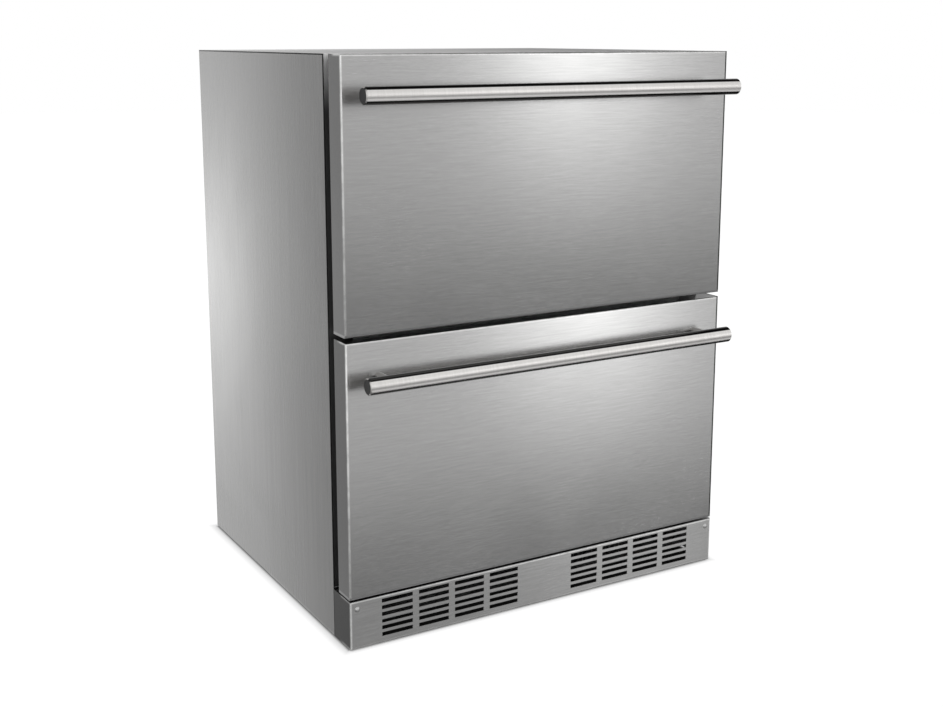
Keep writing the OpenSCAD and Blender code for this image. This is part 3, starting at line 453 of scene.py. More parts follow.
def polished_bar(name, tones=POLISHED, lined=1.0):
    material, tree, shader, where = new_material(name)
    marks = use_group(tree, grain, Vector=where, Stretch=(900, 20, 20))
    cloud = use_group(tree, wipes, Vector=where, Scale=9.0)
    facing = add_node(tree, "ShaderNodeSeparateXYZ", {
        "Vector": tree.nodes.new("ShaderNodeTexCoord").outputs["Normal"]}).outputs
    off_level = maths(tree, "ABSOLUTE", facing["Z"])
    off_middle = maths(tree, "ABSOLUTE", maths(tree, "SUBTRACT", facing["Z"], 0.05))
    handled = spread(tree, off_level, 0.50, 0.62, 1.0, 0.0, smooth=True)
    lower_half = spread(tree, facing["Z"], -0.12, -0.42, 0.0, lined, smooth=True)
    steep = spread(tree, off_middle, 0.64, 0.71, 0.0, lined, smooth=True)
    ends = spread(tree, maths(tree, "ABSOLUTE", facing["X"]), 0.80, 0.95, smooth=True)

    colour = blend_colours(tree, marks["Streaks"], *tones)
    # Painted reflections on the lower half and steep parts, painted shade on faces along x.
    for part, tone in ((lower_half, PAINTED_BRIGHT_REFLECTION), (steep, PAINTED_DARK_REFLECTION), (ends, PAINTED_END_SHADE)):
        colour = blend_colours(tree, part, colour, tone)
    roughness = maths(tree, "MULTIPLY_ADD", handled, 0.28, 0.05)
    roughness = maths(tree, "MULTIPLY_ADD", marks["Hairlines"], 0.03, roughness)
    roughness = maths(tree, "MULTIPLY_ADD", cloud["Cloudy"], 0.03, roughness)
    join(tree, shader, colour=colour, roughness=roughness,
         normal=bump(tree, marks["Height"], 0.000004))
    shader.inputs["Metallic"].default_value = 1.0
    return material


# %% [markdown]
# ## Other metals
#
# The inner sheet parts are zinc coated: large flat crystals, each a little
# lighter or darker than its neighbour. A Voronoi texture gives every crystal
# its own random colour, and one channel of that is its lightness.

# %% Finish: zinc-coated sheet
def zinc_sheet(name, tone=0.46, rough=0.42):
    material, tree, shader, where = new_material(name)
    crystals = add_node(tree, "ShaderNodeTexVoronoi", {"Vector": where, "Scale": 70.0})
    cloud = use_group(tree, wipes, Vector=where, Scale=5.0)
    flake = add_node(tree, "ShaderNodeSeparateColor",
                     {"Color": crystals.outputs["Color"]}).outputs["Red"]
    shade = maths(tree, "MULTIPLY_ADD", flake, 0.10, tone - 0.05)
    shade = maths(tree, "MULTIPLY_ADD", cloud["Cloudy"], 0.05, shade)
    colour = blend_colours(tree, shade, (0, 0, 0), (0.97, 0.99, 1.0))
    roughness = maths(tree, "MULTIPLY_ADD", flake, 0.14, rough)
    join(tree, shader, colour=colour, roughness=roughness,
         normal=bump(tree, crystals.outputs["Distance"], 0.00006, 0.5))
    shader.inputs["Metallic"].default_value = 0.9
    return material


# %% [markdown]
# Bare aluminium fins, copper tubes and turned screws are plain metals. One
# finish serves them all, because they differ only in colour, roughness and
# the direction of their grain.

# %% Finish: plain metals
def plain_metal(name, dark, light, rough, stretch=(120, 120, 120)):
    material, tree, shader, where = new_material(name)
    marks = use_group(tree, grain, Vector=where, Stretch=stretch)
    cloud = use_group(tree, wipes, Vector=where, Scale=12.0)
    colour = blend_colours(tree, marks["Streaks"], dark, light)
    colour = blend_colours(tree, maths(tree, "MULTIPLY", cloud["Cloudy"], 0.35), colour, dark)
    roughness = maths(tree, "MULTIPLY_ADD", cloud["Cloudy"], 0.12, rough)
    join(tree, shader, colour=colour, roughness=roughness,
         normal=bump(tree, marks["Height"], 0.00001))
    shader.inputs["Metallic"].default_value = 1.0
    return material


# %% [markdown]
# Painted steel is not a metal to the light: it is a coat of paint with the
# slight waviness that a sprayed coat dries to, so its highlights wobble.

# %% Finish: painted steel
def painted(name, colour, rough=0.35, wave=0.00012, coat=0.3):
    material, tree, shader, where = new_material(name)
    peel = add_node(tree, "ShaderNodeTexNoise", {"Vector": where, "Scale": 320.0, "Detail": 1.0})
    cloud = use_group(tree, wipes, Vector=where, Scale=8.0)
    tone = blend_colours(tree, maths(tree, "MULTIPLY", cloud["Cloudy"], 0.5), colour,
                         tuple(min(1.0, 1.35 * c + 0.01) for c in colour))
    dusty = maths(tree, "MULTIPLY", cloud["Specks"], 0.25)
    tone = blend_colours(tree, dusty, tone, (0.45, 0.44, 0.42))
    roughness = maths(tree, "MULTIPLY_ADD", cloud["Cloudy"], 0.15, rough)
    join(tree, shader, colour=tone, roughness=roughness,
         normal=bump(tree, peel.outputs["Fac"], wave))
    shader.inputs["Coat Weight"].default_value = coat
    shader.inputs["Coat Roughness"].default_value = 0.2
    return material


# %% [markdown]
# ## Plastics, rubber and foam
#
# Plastics and rubber share the moulded skin and differ in colour, size of
# grain and shine.

# %% Finish: moulded plastic
def moulded(name, colour, rough=0.4, grains=900.0, depth=0.00004, dust=0.15, sheen=0.0):
    material, tree, shader, where = new_material(name)
    surface = use_group(tree, skin, **{"Vector": where, "Grains per metre": grains})
    cloud = use_group(tree, wipes, Vector=where, Scale=7.0)
    darker = tuple(0.93 * c for c in colour)
    lighter = tuple(min(1.0, 1.06 * c + 0.004) for c in colour)
    tone = blend_colours(tree, maths(tree, "MULTIPLY", surface["Tone"], 0.6), darker, lighter)
    dusty = maths(tree, "MULTIPLY", cloud["Specks"], dust)
    tone = blend_colours(tree, dusty, tone, (0.5, 0.49, 0.47))
    roughness = maths(tree, "MULTIPLY_ADD", cloud["Cloudy"], 0.1, rough)
    join(tree, shader, colour=tone, roughness=roughness,
         normal=bump(tree, surface["Height"], depth))
    shader.inputs["Sheen Weight"].default_value = sheen
    return material


# %% [markdown]
# The foam between the sheets rises in place and keeps its cells: a yellowish
# body that billows slowly, with small pits all over that carry painted shade.

# %% Finish: foam
def foam(name):
    material, tree, shader, where = new_material(name)
    cells = add_node(tree, "ShaderNodeTexVoronoi", {"Vector": where, "Scale": 260.0})
    rise = add_node(tree, "ShaderNodeTexNoise", {"Vector": where, "Scale": 16.0, "Detail": 4.0})
    tone = blend_colours(tree, rise.outputs["Fac"], (0.78, 0.68, 0.42), (0.92, 0.85, 0.62))
    pits = spread(tree, cells.outputs["Distance"], 0.0, 0.5)
    # Painted shade in the hollows of the cells.
    pit_shade = maths(tree, "MULTIPLY", maths(tree, "SUBTRACT", 1.0, pits), 0.35)
    tone = blend_colours(tree, pit_shade, tone, (0.6, 0.5, 0.3))
    height = maths(tree, "MULTIPLY_ADD", pits, 0.3, rise.outputs["Fac"])
    join(tree, shader, colour=tone, roughness=spread(tree, pits, 0, 1, 0.95, 0.75),
         normal=bump(tree, height, 0.002))
    return material


# %% [markdown]
# A levelling foot is a plastic pad on a steel stem, and the model has both in
# one piece. The stem is a plain rod there, because a helix that small would
# cost thousands of faces. Above the pad the finish turns from plastic to
# steel, with light and dark bands that stand for the thread: painted light and
# painted shade of its crests and roots, with a bump. They are about 9 mm
# apart, wider than a real thread's.

# %% Finish: levelling foot
PAD_HEIGHT = 0.010
STEM_BANDS = 33.3


def levelling_foot(name):
    material, tree, shader, where = new_material(name)
    surface = use_group(tree, skin, **{"Vector": where, "Grains per metre": 900.0})
    cloud = use_group(tree, wipes, Vector=where, Scale=30.0)
    ridges = add_node(tree, "ShaderNodeTexWave", {"Vector": where, "Scale": STEM_BANDS},
                      wave_type="BANDS", bands_direction="Z", wave_profile="TRI").outputs["Fac"]
    up = add_node(tree, "ShaderNodeSeparateXYZ", {"Vector": where}).outputs["Z"]
    stem = spread(tree, up, PAD_HEIGHT + 0.0002, PAD_HEIGHT + 0.0004)
    plastic = blend_colours(tree, surface["Tone"], (0.042, 0.042, 0.045), (0.050, 0.050, 0.053))
    # The thread's light and dark bands are painted light and painted shade.
    steel = blend_colours(tree, ridges, (0.30, 0.30, 0.31), (0.62, 0.63, 0.64))
    colour = blend_colours(tree, stem, plastic, steel)
    roughness = maths(tree, "MULTIPLY_ADD", cloud["Cloudy"], 0.12,
                      spread(tree, stem, 0, 1, 0.48, 0.28))
    height = maths(tree, "ADD", maths(tree, "MULTIPLY", ridges, stem),
                   maths(tree, "MULTIPLY", surface["Height"], 0.08))
    join(tree, shader, colour=colour, roughness=roughness, normal=bump(tree, height, 0.0006),
         metallic=maths(tree, "MULTIPLY", stem, 0.9))
    return material


# %% [markdown]
# The window over the display is dark gloss plastic. The light bar has an opal
# cover with fine prisms along it, and it glows a little because the lamp is on
# while a drawer is open.

# %% Finishes: window and light bar
def dark_window(name):
    material, tree, shader, where = new_material(name)
    cloud = use_group(tree, wipes, Vector=where, Scale=20.0)
    tone = blend_colours(tree, cloud["Cloudy"], (0.010, 0.014, 0.018), (0.022, 0.028, 0.034))
    join(tree, shader, colour=tone,
         roughness=maths(tree, "MULTIPLY_ADD", cloud["Cloudy"], 0.05, 0.06))
    shader.inputs["Coat Weight"].default_value = 0.6
    return material


def opal_cover(name):
    material, tree, shader, where = new_material(name)
    prisms = add_node(tree, "ShaderNodeTexWave", {"Vector": where, "Scale": 60.0},
                      wave_type="BANDS", bands_direction="X", wave_profile="SIN")
    tone = blend_colours(tree, prisms.outputs["Fac"], (0.86, 0.88, 0.9), (0.95, 0.96, 0.97))
    join(tree, shader, colour=tone, normal=bump(tree, prisms.outputs["Fac"], 0.0004),
         roughness=spread(tree, prisms.outputs["Fac"], 0, 1, 0.25, 0.4))
    tree.links.new(tone, shader.inputs["Emission Color"])
    shader.inputs["Emission Strength"].default_value = 0.35
    return material


# %% [markdown]
# ## Giving every piece its finish
#
# The record names a finish for each piece. First come the finishes that serve
# every piece of their kind, under the names that the record uses.

# %% Finishes by name: metals
finishes = {
    "stainless_polished": polished_bar("polished stainless"),
    "screw_steel": plain_metal("screw steel", (0.44, 0.44, 0.44), (0.56, 0.56, 0.56), 0.26,
                               (400, 400, 400)),
    "galvanised_steel": zinc_sheet("galvanised steel"),
    "slide_steel": plain_metal("slide steel", (0.56, 0.57, 0.58), (0.68, 0.69, 0.70), 0.28,
                               (500, 3, 500)),
    "coil_aluminium": plain_metal("bare aluminium", (0.66, 0.67, 0.69), (0.82, 0.83, 0.85), 0.34,
                                  (8, 300, 300)),
    "copper": plain_metal("copper", (0.56, 0.27, 0.16), (0.80, 0.47, 0.31), 0.24, (60, 60, 60)),
    "dark_steel": painted("dark steel", (0.075, 0.077, 0.08), 0.4),
    "compressor_black": painted("compressor black", (0.018, 0.018, 0.02), 0.3, 0.0002, 0.6),
    "motor_dark": painted("motor dark", (0.055, 0.055, 0.06), 0.42),
}
print("metals:", len(finishes))

# %% [markdown]
# The moulded finishes differ in colour, roughness, grains per metre, the
# grains' height in metres, and how much dust lies on them. Rubber also gets a
# little sheen, the soft light at its edges.

# %% Finishes by name: plastics, rubber and foam
MOULDED = {
    "liner_plastic": ((0.80, 0.82, 0.83), 0.28, 500.0, 0.00002, 0.04),
    "bin_plastic": ((0.74, 0.78, 0.82), 0.3, 700.0, 0.00003, 0.04),
    "duct_plastic": ((0.76, 0.78, 0.8), 0.5, 800.0, 0.00005, 0.05),
    "gasket_rubber": ((0.035, 0.035, 0.037), 0.62, 1400.0, 0.00004, 0.1, 0.3),
    "fan_white": ((0.78, 0.78, 0.77), 0.42, 700.0, 0.00004, 0.12),
    "fan_black": ((0.03, 0.03, 0.03), 0.42, 700.0, 0.00004, 0.3),
    "control_plastic": ((0.03, 0.03, 0.033), 0.4, 1100.0, 0.00004, 0.1),
    "button_plastic": ((0.42, 0.43, 0.44), 0.38, 1200.0, 0.00003, 0.05),
    "dark_plastic": ((0.045, 0.045, 0.048), 0.48, 900.0, 0.00005, 0.2),
    "tube_plastic": ((0.62, 0.63, 0.62), 0.4, 600.0, 0.00004, 0.15),
    "black_rubber": ((0.018, 0.018, 0.018), 0.7, 1200.0, 0.00006, 0.3, 0.3),
}
for slot_name, numbers in MOULDED.items():
    finishes[slot_name] = moulded(slot_name.replace("_", " "), *numbers)
finishes["foam"] = foam("insulating foam")
finishes["display_window"] = dark_window("display window")
finishes["light_diffuser"] = opal_cover("opal cover")
print("finishes by name:", len(finishes))

# %% [markdown]
# The sheets that show get a material each, because crown, folds, seams and
# painted shade are placed from the sheet's own box. A seam or painted-shade
# line is given by its axis, its side, its width in metres and its tone.

# %% Finishes of single pieces
# The dark lines at the side panels' top and front edges are seams.
# The fronts' returns get painted shade and their front edges a painted highlight.
# The line down a front's right edge is painted shade; its bottom edge is darker.
FRONT = dict(bow=3.0, returns=0.45, edge_wear_and_highlight=1.0,
             seams_and_shade_lines=(("X", 1, 0.0045, 0.05), ("Z", -1, 0.0045, 0.36)))
SIDE = dict(rough=0.23, bow=5.0, seams_and_shade_lines=(("Z", 1, 0.0022, 0.02), ("Y", -1, 0.0022, 0.02)))
ALONG_TOP = (2.0, 700, 700)
# The posts are the same polished steel as the bars in a darker tone: painted shade.
SHADED_POST = ((0.34, 0.33, 0.32), (0.38, 0.37, 0.36))

special = {
    "upper_front_skin": brushed_sheet("upper front", "upper_front_skin", ALONG_WIDTH,
                                      lean=0.1, crown=3.2, **FRONT),
    "lower_front_skin": brushed_sheet("lower front", "lower_front_skin", ALONG_WIDTH,
                                      lean=6.3, crown=3.9, **FRONT),
    # The grille's darker tone is painted shade low down by the floor.
    "toe_grille": brushed_sheet("toe grille", "toe_grille", ALONG_WIDTH, tone=0.26, lean=11.0,
                                bow=2.0, returns=0.45, edge_wear_and_highlight=0.7),
    "left_side_panel": brushed_sheet("left side", "left_side_panel", UPRIGHT, **SIDE),
    "right_side_panel": brushed_sheet("right side", "right_side_panel", UPRIGHT, **SIDE),
    # The top's lighter tone is painted light, where the sheet faces up.
    "top_panel": brushed_sheet("top", "top_panel", ALONG_TOP, tone=0.66, rough=0.34),
    # The front frame's light tone is painted light at the top of the gap,
    # and lower down the frame gets painted shade.
    "front_frame": brushed_sheet("front frame", "front_frame", UPRIGHT, tone=0.7, rough=0.5,
                                 edge_wear_and_highlight=0.0, painted_shade_below=(0.31, 0.385, 0.12, 1.0)),
    "foot_sockets": finishes["dark_steel"],
}
for drawer in ("upper", "lower"):
    special[drawer + "_handle_posts"] = polished_bar(drawer + " posts", SHADED_POST, 0.0)
for corner in ("front_left", "front_right", "rear_left", "rear_right"):
    special[corner + "_foot"] = levelling_foot(corner.replace("_", " ") + " foot")
print("finishes of single pieces:", len(special))

# %% [markdown]
# A piece of the model keeps its mesh and its place. It only gets a material,
# in every slot that it has.

# %% Assign the finishes
for piece, model_piece in nodes.items():
    chosen = special.get(piece) or finishes.get(slots[piece])
    if chosen is None:
        chosen = brushed_sheet(piece, piece, UPRIGHT)
    for material_slot in model_piece.material_slots:
        material_slot.material = chosen
    if not model_piece.material_slots:
        model_piece.data.materials.append(chosen)
print("materials:", len(bpy.data.materials))

# %% [markdown]
# ## Screws
#
# The grille and the machine cover are held by pan-head screws. In the model a
# head is a plain dome, and what it lacks is the cross that a screwdriver
# turns. A new head starts from a grid of three by three faces: without its
# corners that is a cross. The cross is joined to a round rim, the surface
# between them is raised to a dome, and the cross is pushed in.

# %% One screw
HEAD_RADIUS, HEAD_RISE = 0.00425, 0.0026
SHANK_RADIUS, SHANK_LENGTH = 0.002, 0.010
ARM_WIDTH, ARM_REACH, RECESS = 0.00085, 0.0021, 0.0013
BALL = (HEAD_RADIUS ** 2 + HEAD_RISE ** 2) / (2 * HEAD_RISE)


def dome(x, y):
    """Height of the domed head over the sheet."""
    return HEAD_RISE - BALL + math.sqrt(max(BALL ** 2 - x * x - y * y, 0.0))


def one_screw():
    """A screw along z, with the underside of its head at 0."""
    shape = bmesh.new()
    for vert in bmesh.ops.create_grid(shape, x_segments=3, y_segments=3, size=1.0)["verts"]:
        for axis in (0, 1):
            distance = ARM_WIDTH / 2 if abs(vert.co[axis]) < 0.5 else ARM_REACH
            vert.co[axis] = math.copysign(distance, vert.co[axis])
    corners = [face for face in shape.faces
               if min(abs(face.calc_center_median()[axis]) for axis in (0, 1)) > ARM_WIDTH]
    bmesh.ops.delete(shape, geom=corners, context="FACES")
    cross = shape.faces[:]
    bmesh.ops.subdivide_edges(
        shape, edges=[edge for edge in shape.edges if edge.is_boundary], cuts=1)
    outline = [edge for edge in shape.edges if edge.is_boundary]
    rim = bmesh.ops.create_circle(shape, segments=len(outline), radius=HEAD_RADIUS)["verts"]
    rim_edges = list({edge for vert in rim for edge in vert.link_edges})
    bmesh.ops.bridge_loops(shape, edges=outline + rim_edges)
    radial = [edge for edge in shape.edges if len({vert in rim for vert in edge.verts}) == 2]
    bmesh.ops.subdivide_edges(shape, edges=radial, cuts=3, use_grid_fill=True)
    for vert in shape.verts:
        vert.co.z = dome(vert.co.x, vert.co.y)
    pushed = bmesh.ops.extrude_face_region(shape, geom=cross)["geom"]
    for vert in (part for part in pushed if isinstance(part, bmesh.types.BMVert)):
        vert.co = (0.75 * vert.co.x, 0.75 * vert.co.y, HEAD_RISE - RECESS)
    bmesh.ops.holes_fill(shape, edges=[edge for edge in shape.edges if edge.is_boundary])
    bmesh.ops.create_cone(shape, cap_ends=True, segments=16, radius1=SHANK_RADIUS,
                          radius2=SHANK_RADIUS, depth=SHANK_LENGTH,
                          matrix=Matrix.Translation((0, 0, -SHANK_LENGTH / 2)))
    mesh = bpy.data.meshes.new("one screw")
    shape.to_mesh(mesh)
    shape.free()
    return mesh


# %% [markdown]
# Every new piece ends in the same way: its faces are turned outwards, faces
# that meet nearly flat are shaded smooth, and it rides on a body of the model.

# %% A new piece
def new_piece(name, shape, body, material, smooth_below=0.0):
    """Turns a bmesh into a piece; where faces meet flatter than an angle they are smooth."""
    bmesh.ops.recalc_face_normals(shape, faces=shape.faces)
    for edge in shape.edges:
        edge.smooth = edge.is_manifold and edge.calc_face_angle(4.0) < math.radians(smooth_below)
    for face in shape.faces:
        face.smooth = smooth_below > 0
    mesh = bpy.data.meshes.new(name)
    shape.to_mesh(mesh)
    shape.free()
    piece = bpy.data.objects.new(name, mesh)
    bpy.context.scene.collection.objects.link(piece)
    piece.data.materials.append(material)
    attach(piece, body)
    print("piece:", name, len(mesh.polygons), "faces")
    return piece


# %% [markdown]
# All six screws are one piece, as in the model: two hold the grille at the
# front, four the cover at the back. Nobody lines up the crosses of screws, so
# each is turned by its own angle.

# %% Screws in their places
GRILLE_SCREW_X, GRILLE_SCREW_Z = 0.3315, 0.066
COVER_SCREW_X, COVER_SCREW_ZS = 0.303, (0.2250, 0.0443)
FIRST_TURN, NEXT_TURN = 10, 37

face_y, back_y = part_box("toe_grille")[0].y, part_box("machine_cover")[1].y
screw_places = [(side * GRILLE_SCREW_X, face_y, GRILLE_SCREW_Z) for side in (-1, 1)]
screw_places += [(side * COVER_SCREW_X, back_y, z) for z in COVER_SCREW_ZS for side in (-1, 1)]
pattern = one_screw()
screws = bmesh.new()
turned = FIRST_TURN
for x, y, z in screw_places:
    turned += NEXT_TURN
    outward = 90 if y < 0 else -90
    before = len(screws.verts)
    screws.from_mesh(pattern)
    screws.verts.ensure_lookup_table()
    bmesh.ops.transform(screws, verts=screws.verts[before:], matrix=Matrix.Translation((x, y, z))
                        @ Matrix.Rotation(math.radians(outward), 4, "X")
                        @ Matrix.Rotation(math.radians(turned), 4, "Z"))
new_screws = new_piece("cross_screws", screws, "cabinet",
                       finishes["screw_steel"], 40)
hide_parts("pan_screws")
bpy.data.meshes.remove(pattern)

# %% [markdown]
# ## Display and keys
#
# Each digit of the display is made of up to seven lit bars with pointed ends.
# Such a bar is a circle of six corners, pulled apart in the middle.

# %% One lit bar
RAISED = 0.00012


def add_bar(shape, across, up, upright, length, width):
    """A flat pointed bar in the xz plane that faces the front."""
    made = bmesh.ops.create_circle(shape, cap_ends=True, segments=6, radius=width / 2)["verts"]
    for vert in made:
        vert.co.x += math.copysign((length - width) / 2, vert.co.x)
    face = made[0].link_faces[0]
    raised = bmesh.ops.extrude_face_region(shape, geom=[face])["geom"]
    top = [part for part in raised if isinstance(part, bmesh.types.BMVert)]
    bmesh.ops.translate(shape, vec=(0, 0, RAISED), verts=top)
    turn_up = Matrix.Rotation(math.radians(90 if upright else 0), 4, "Z")
    bmesh.ops.transform(shape, verts=made + top, matrix=Matrix.Translation((across, 0, up))
                        @ Matrix.Rotation(math.radians(90), 4, "X") @ turn_up)


def move_to(shape, place):
    bmesh.ops.translate(shape, vec=place, verts=shape.verts)


def front_middle(node):
    """The middle of the front face of a piece's box."""
    low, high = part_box(node)
    return (low.x + high.x) / 2, low.y, (low.z + high.z) / 2


# %% [markdown]
# The bars are lit from behind and a little uneven. In degrees Fahrenheit a
# refrigerator stands at 38, so that is what the display shows. Each bar has
# its letter, and its place is given in halves of the digit's size.

# %% Digits
DIGIT_HEIGHT, DIGIT_WIDTH, BAR_WIDTH, BAR_GAP = 0.0072, 0.0040, 0.0009, 0.0003
LIT = {"3": "abcdg", "8": "abcdefg"}
BAR_PLACES = {"a": (0, 1, 0), "b": (1, 0.5, 1), "c": (1, -0.5, 1), "d": (0, -1, 0),
              "e": (-1, -0.5, 1), "f": (-1, 0.5, 1), "g": (0, 0, 0)}
DIGIT_STEP = 0.0068


def lit_digits(name):
    material, tree, shader, where = new_material(name)
    uneven = add_node(tree, "ShaderNodeTexNoise", {"Vector": where, "Scale": 900.0})
    tone = blend_colours(tree, uneven.outputs["Fac"], (0.30, 0.72, 0.95), (0.45, 0.85, 1.0))
    join(tree, shader, colour=tone)
    tree.links.new(tone, shader.inputs["Emission Color"])
    shader.inputs["Emission Strength"].default_value = 0.8
    return material


digits = bmesh.new()
for number, across in (("3", -DIGIT_STEP / 2), ("8", DIGIT_STEP / 2)):
    for bar in LIT[number]:
        side, level, upright = BAR_PLACES[bar]
        length = (DIGIT_HEIGHT / 2 if upright else DIGIT_WIDTH) - BAR_GAP
        add_bar(digits, across + side * DIGIT_WIDTH / 2, level * DIGIT_HEIGHT / 2, upright,
                length, BAR_WIDTH)
move_to(digits, front_middle("control_display"))
new_piece("lit_digits", digits, "cabinet", lit_digits("lit digits"))

# %% [markdown]
# The keys carry printed marks: a ring with a stroke for power, a plus for
# warmer and a minus for colder. The ring is a small square spun through most
# of a circle, and its open ends are closed afterwards.

# %% Power mark
ink = moulded("printed ink", (0.02, 0.02, 0.022), 0.5, 2500.0, 0.000005, 0.05)
MARK, STROKE_WIDTH = 0.0042, 0.0007
RING_WIDTH, RING_HEIGHT, RING_GAP, RING_STEPS = 0.00032, 0.00045, 60, 28
POWER_STROKE = (0.0024, 0.0006)


def power_mark(shape):
    made = bmesh.ops.create_circle(shape, cap_ends=True, segments=4, radius=RING_WIDTH)["verts"]
    bmesh.ops.transform(shape, verts=made, matrix=Matrix.Translation((MARK / 2, 0, 0))
                        @ Matrix.Rotation(math.radians(90), 4, "X")
                        @ Matrix.Rotation(math.radians(45), 4, "Z"))
    bmesh.ops.scale(shape, vec=(1, RAISED / RING_HEIGHT, 1), verts=made)
    for degrees, axis in ((-RING_GAP, "Y"), (-90, "X")):
        bmesh.ops.rotate(shape, cent=(0, 0, 0), verts=made,
                         matrix=Matrix.Rotation(math.radians(degrees), 3, axis))
    bmesh.ops.spin(shape, geom=shape.verts[:] + shape.edges[:] + shape.faces[:], cent=(0, 0, 0),
                   axis=(0, 0, 1), angle=math.radians(RING_GAP - 360), steps=RING_STEPS,
                   use_merge=False)
    bmesh.ops.rotate(shape, cent=(0, 0, 0), verts=shape.verts,
                     matrix=Matrix.Rotation(math.radians(90), 3, "X"))
    bmesh.ops.holes_fill(shape, edges=[edge for edge in shape.edges if edge.is_boundary])
    add_bar(shape, 0, MARK / 2, True, *POWER_STROKE)


# %% [markdown]
# Plus and minus are made of the same pointed bars as the digits. Each mark
# rides on its key, so that it goes in when the key is pressed.

# %% Marks on the keys
def plus_mark(shape):
    for upright in (False, True):
        add_bar(shape, 0, 0, upright, MARK, STROKE_WIDTH)


def minus_mark(shape):
    add_bar(shape, 0, 0, False, MARK, STROKE_WIDTH)


for key, draw in (("power", power_mark), ("warmer", plus_mark), ("colder", minus_mark)):
    shape = bmesh.new()
    draw(shape)
    move_to(shape, front_middle(key + "_button"))
    new_piece(key + "_mark", shape, key + "_key", ink)

# %% [markdown]
# ## The studio
#
# A plain white room: a white floor that keeps a soft shadow, and white all
# round. Under the refrigerator the floor is painted dark, a painted shadow, so
# that the slots of the grille, through which it can be seen, stay dark too.

# %% Floor
FLOOR_SIZE = 14.0

mesh = bpy.data.meshes.new("floor")
shape = bmesh.new()
bmesh.ops.create_circle(shape, cap_ends=True, segments=96, radius=FLOOR_SIZE)
shape.to_mesh(mesh)
shape.free()
floor = bpy.data.objects.new("floor", mesh)
bpy.context.scene.collection.objects.link(floor)
print("floor:", FLOOR_SIZE, "m")

# %% [markdown]
# The floor's finish takes real light and shadow for one fifth and glows for
# the rest, so that it stays white while a soft shadow remains. How far a point
# lies outside the cabinet's outline decides where the dark part ends; under
# the cabinet the floor's colour is a painted shadow.

# %% Finish: white paper
FOOTPRINT_MIDDLE, FOOTPRINT_HALF = 0.03, 0.29
GLOW, GLOW_SHARE = 1.16, 0.80


def seen_white(tree):
    """One for the rays that show the room itself: the camera's, and through gloss or glass."""
    path = tree.nodes.new("ShaderNodeLightPath").outputs
    seen = maths(tree, "MAXIMUM", path["Is Camera Ray"], path["Is Glossy Ray"])
    return maths(tree, "MAXIMUM", seen, path["Is Transmission Ray"])


paper = bpy.data.materials.new("white paper")
paper.use_nodes = True
tree = paper.node_tree
tree.nodes.clear()
where = tree.nodes.new("ShaderNodeTexCoord").outputs["Object"]
low, high = cad_box
middle = ((low[0] + high[0]) / 2, FOOTPRINT_MIDDLE, 0)
off_middle = vector_maths(tree, "ABSOLUTE", vector_maths(tree, "SUBTRACT", where, middle))
beyond = vector_maths(tree, "SUBTRACT", off_middle, ((high[0] - low[0]) / 2, FOOTPRINT_HALF, 0))
sides = add_node(tree, "ShaderNodeSeparateXYZ", {"Vector": beyond}).outputs
nearest = maths(tree, "MAXIMUM", sides["X"], sides["Y"])
open_floor = spread(tree, nearest, -0.006, 0.02, smooth=True)
# Painted shadow: the floor's colour is nearly black under the cabinet.
painted_shadow_under = blend_colours(tree, spread(tree, nearest, -0.003, 0.003), 0.02, 0.9)
soft = add_node(tree, "ShaderNodeBsdfDiffuse", {"Color": painted_shadow_under})
glow = add_node(tree, "ShaderNodeEmission", {"Color": grey(1.0), "Strength": GLOW})
shown = maths(tree, "MULTIPLY", seen_white(tree), open_floor)
both = add_node(tree, "ShaderNodeMixShader", {0: maths(tree, "MULTIPLY", shown, GLOW_SHARE)})
tree.links.new(soft.outputs[0], both.inputs[1])
tree.links.new(glow.outputs[0], both.inputs[2])
add_node(tree, "ShaderNodeOutputMaterial", {"Surface": both.outputs[0]})
floor.data.materials.append(paper)
print("glow of the floor:", GLOW)

# %% [markdown]
# Steel shows what stands around it, so the room that it sees matters as much
# as the lamps. That room has no furniture, only tones: each direction gets a
# lightness from its turn (0 straight ahead of the fronts, 90 at the right, 180
# behind) and its rise above the horizon, both in degrees. It darkens slowly
# toward the floor, one soft window shines from each front corner, and another
# from behind each side. Only reflections show it: the camera sees plain white,
# and the floor hides from the reflections.

# %% Room: directions
floor.visible_glossy = False
world = bpy.data.worlds.new("studio")
bpy.context.scene.world = world
world.use_nodes = True
tree = world.node_tree
tree.nodes.clear()

DEGREE = 180 / math.pi
parts = add_node(tree, "ShaderNodeSeparateXYZ", {
    "Vector": tree.nodes.new("ShaderNodeTexCoord").outputs["Generated"]}).outputs
forward = maths(tree, "MULTIPLY", parts["Y"], -1.0)
turn = maths(tree, "ABSOLUTE", maths(tree, "ARCTAN2", parts["X"], forward))
turn = maths(tree, "MULTIPLY", DEGREE, turn)
rise = maths(tree, "MULTIPLY", DEGREE, maths(tree, "ARCSINE", parts["Z"]))
angles = add_node(tree, "ShaderNodeCombineXYZ", {"X": turn, "Y": rise}).outputs[0]
print("a room of angles, in degrees")

# %% [markdown]
# The tones are lists of stops: an angle, and the lightness there. Ahead of the
# fronts the rise decides, behind them the turn.

# %% Room: tones and windows
AHEAD = ((-60, 0.30), (-46, 0.85), (-38, 0.70), (-28, 0.25), (-19, 0.24), (-12, 0.48),
         (-6, 0.84), (1, 0.83), (22, 1.0))
BEHIND = ((92, 1.0), (115, 0.95), (143, 0.26), (160, 0.76), (176, 0.76))


def tone_curve(tree, value, low, high, stops):
    """A lightness that follows a value through given stops."""
    made = add_node(tree, "ShaderNodeValToRGB", {0: spread(tree, value, low, high)})
    marks = made.color_ramp.elements
    while len(marks) < len(stops):
        marks.new(0.5)
    for mark, (at, tone) in zip(marks, stops):
        mark.position, mark.color = (at - low) / (high - low), grey(tone)
    return made.outputs["Color"]


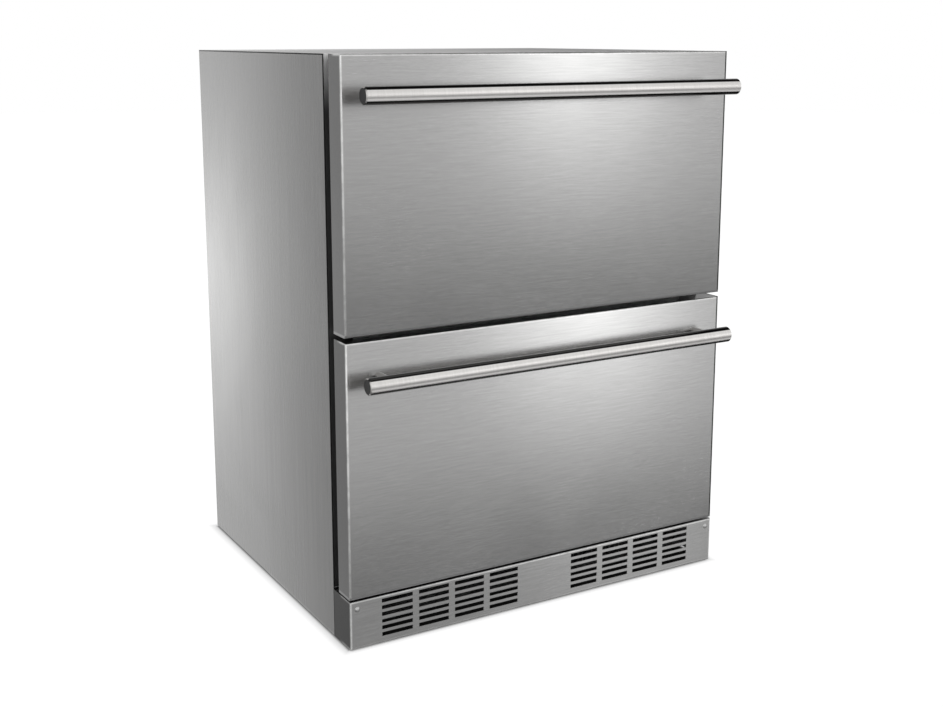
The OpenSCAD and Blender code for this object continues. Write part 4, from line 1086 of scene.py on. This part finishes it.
def with_window(room, brightness, centre, size):
    """The room with a soft window in it, both given as turn and rise in degrees."""
    window = use_group(tree, pool, Vector=angles, Centre=(*centre, 0), Size=(*size, 1))
    return maths(tree, "MULTIPLY_ADD", brightness, window["Mask"], room)


room = blend_colours(tree, spread(tree, turn, 95, 125, smooth=True),
                     tone_curve(tree, rise, -90, 90, AHEAD),
                     tone_curve(tree, turn, 90, 180, BEHIND))
room = with_window(room, 2.2, (36.0, 8.0), (6.0, 10.0))
room = with_window(room, 1.0, (173.0, -10.0), (10.0, 5.5))
print("tones:", len(AHEAD) + len(BEHIND))

# %% [markdown]
# Overhead, and on the floor before the refrigerator, lies a dark patch. The
# bars show these two as thin dark lines. A mirror-bright round that runs along
# x shows them by their angle about that axis, so that is how they are placed.

# %% Room: dark patches
PATCH_DEPTH = 0.97
around = maths(tree, "MULTIPLY", DEGREE, maths(tree, "ARCTAN2", parts["Z"], forward))
beside = spread(tree, maths(tree, "ABSOLUTE", parts["X"]), 0.30, 0.38)
steep = spread(tree, maths(tree, "ABSOLUTE", rise), 30, 38)
overhead = maths(tree, "MULTIPLY", spread(tree, around, 74, 84), spread(tree, around, 165, 155))
underfoot = maths(tree, "MULTIPLY", spread(tree, around, -66, -76),
                  spread(tree, around, -172, -165))
patches = maths(tree, "MULTIPLY", maths(tree, "MAXIMUM", overhead, underfoot),
                maths(tree, "MULTIPLY", beside, steep))
room = maths(tree, "MULTIPLY", room, maths(tree, "MULTIPLY_ADD", patches, -PATCH_DEPTH, 1.0))
print("depth of the patches:", PATCH_DEPTH)

# %% [markdown]
# Light that only brightens the surfaces comes from an even, dimmer room, so
# that a colour looks about as it is written. One lamp from the upper left
# gives the shadows their direction. It hides from the reflections, where it
# would glint in the grain of the sheets.

# %% World and lamps
ROOM_LIGHT = 0.62
path = tree.nodes.new("ShaderNodeLightPath").outputs
shown = maths(tree, "MAXIMUM", path["Is Camera Ray"], path["Is Transmission Ray"])
level = spread(tree, shown, 0.0, 1.0, ROOM_LIGHT, 1.0)
level = add_node(tree, "ShaderNodeMix", {0: path["Is Glossy Ray"], 2: level, 3: room}).outputs[0]
sky = add_node(tree, "ShaderNodeBackground", {"Color": grey(1.0), "Strength": level})
add_node(tree, "ShaderNodeOutputWorld", {"Surface": sky.outputs[0]})


def softbox(name, place, aim, width, height, power):
    data = bpy.data.lights.new(name, "AREA")
    data.shape = "RECTANGLE"
    data.size, data.size_y, data.energy = width, height, power
    lamp = bpy.data.objects.new(name, data)
    lamp.location = place
    lamp.rotation_euler = (Vector(aim) - Vector(place)).to_track_quat("-Z", "Y").to_euler()
    lamp.visible_glossy = False
    bpy.context.scene.collection.objects.link(lamp)
    return lamp


lamp = softbox("key lamp", (-2.2, -2.6, 2.9), (0, 0, 0.4), 1.6, 1.6, 70)
print("lamp:", lamp.name)

# %% [markdown]
# ## View settings
#
# The picture is shown as it is computed, without a film look. Nothing that
# was added reaches past the model.

bpy.context.scene.view_settings.view_transform = "Standard"
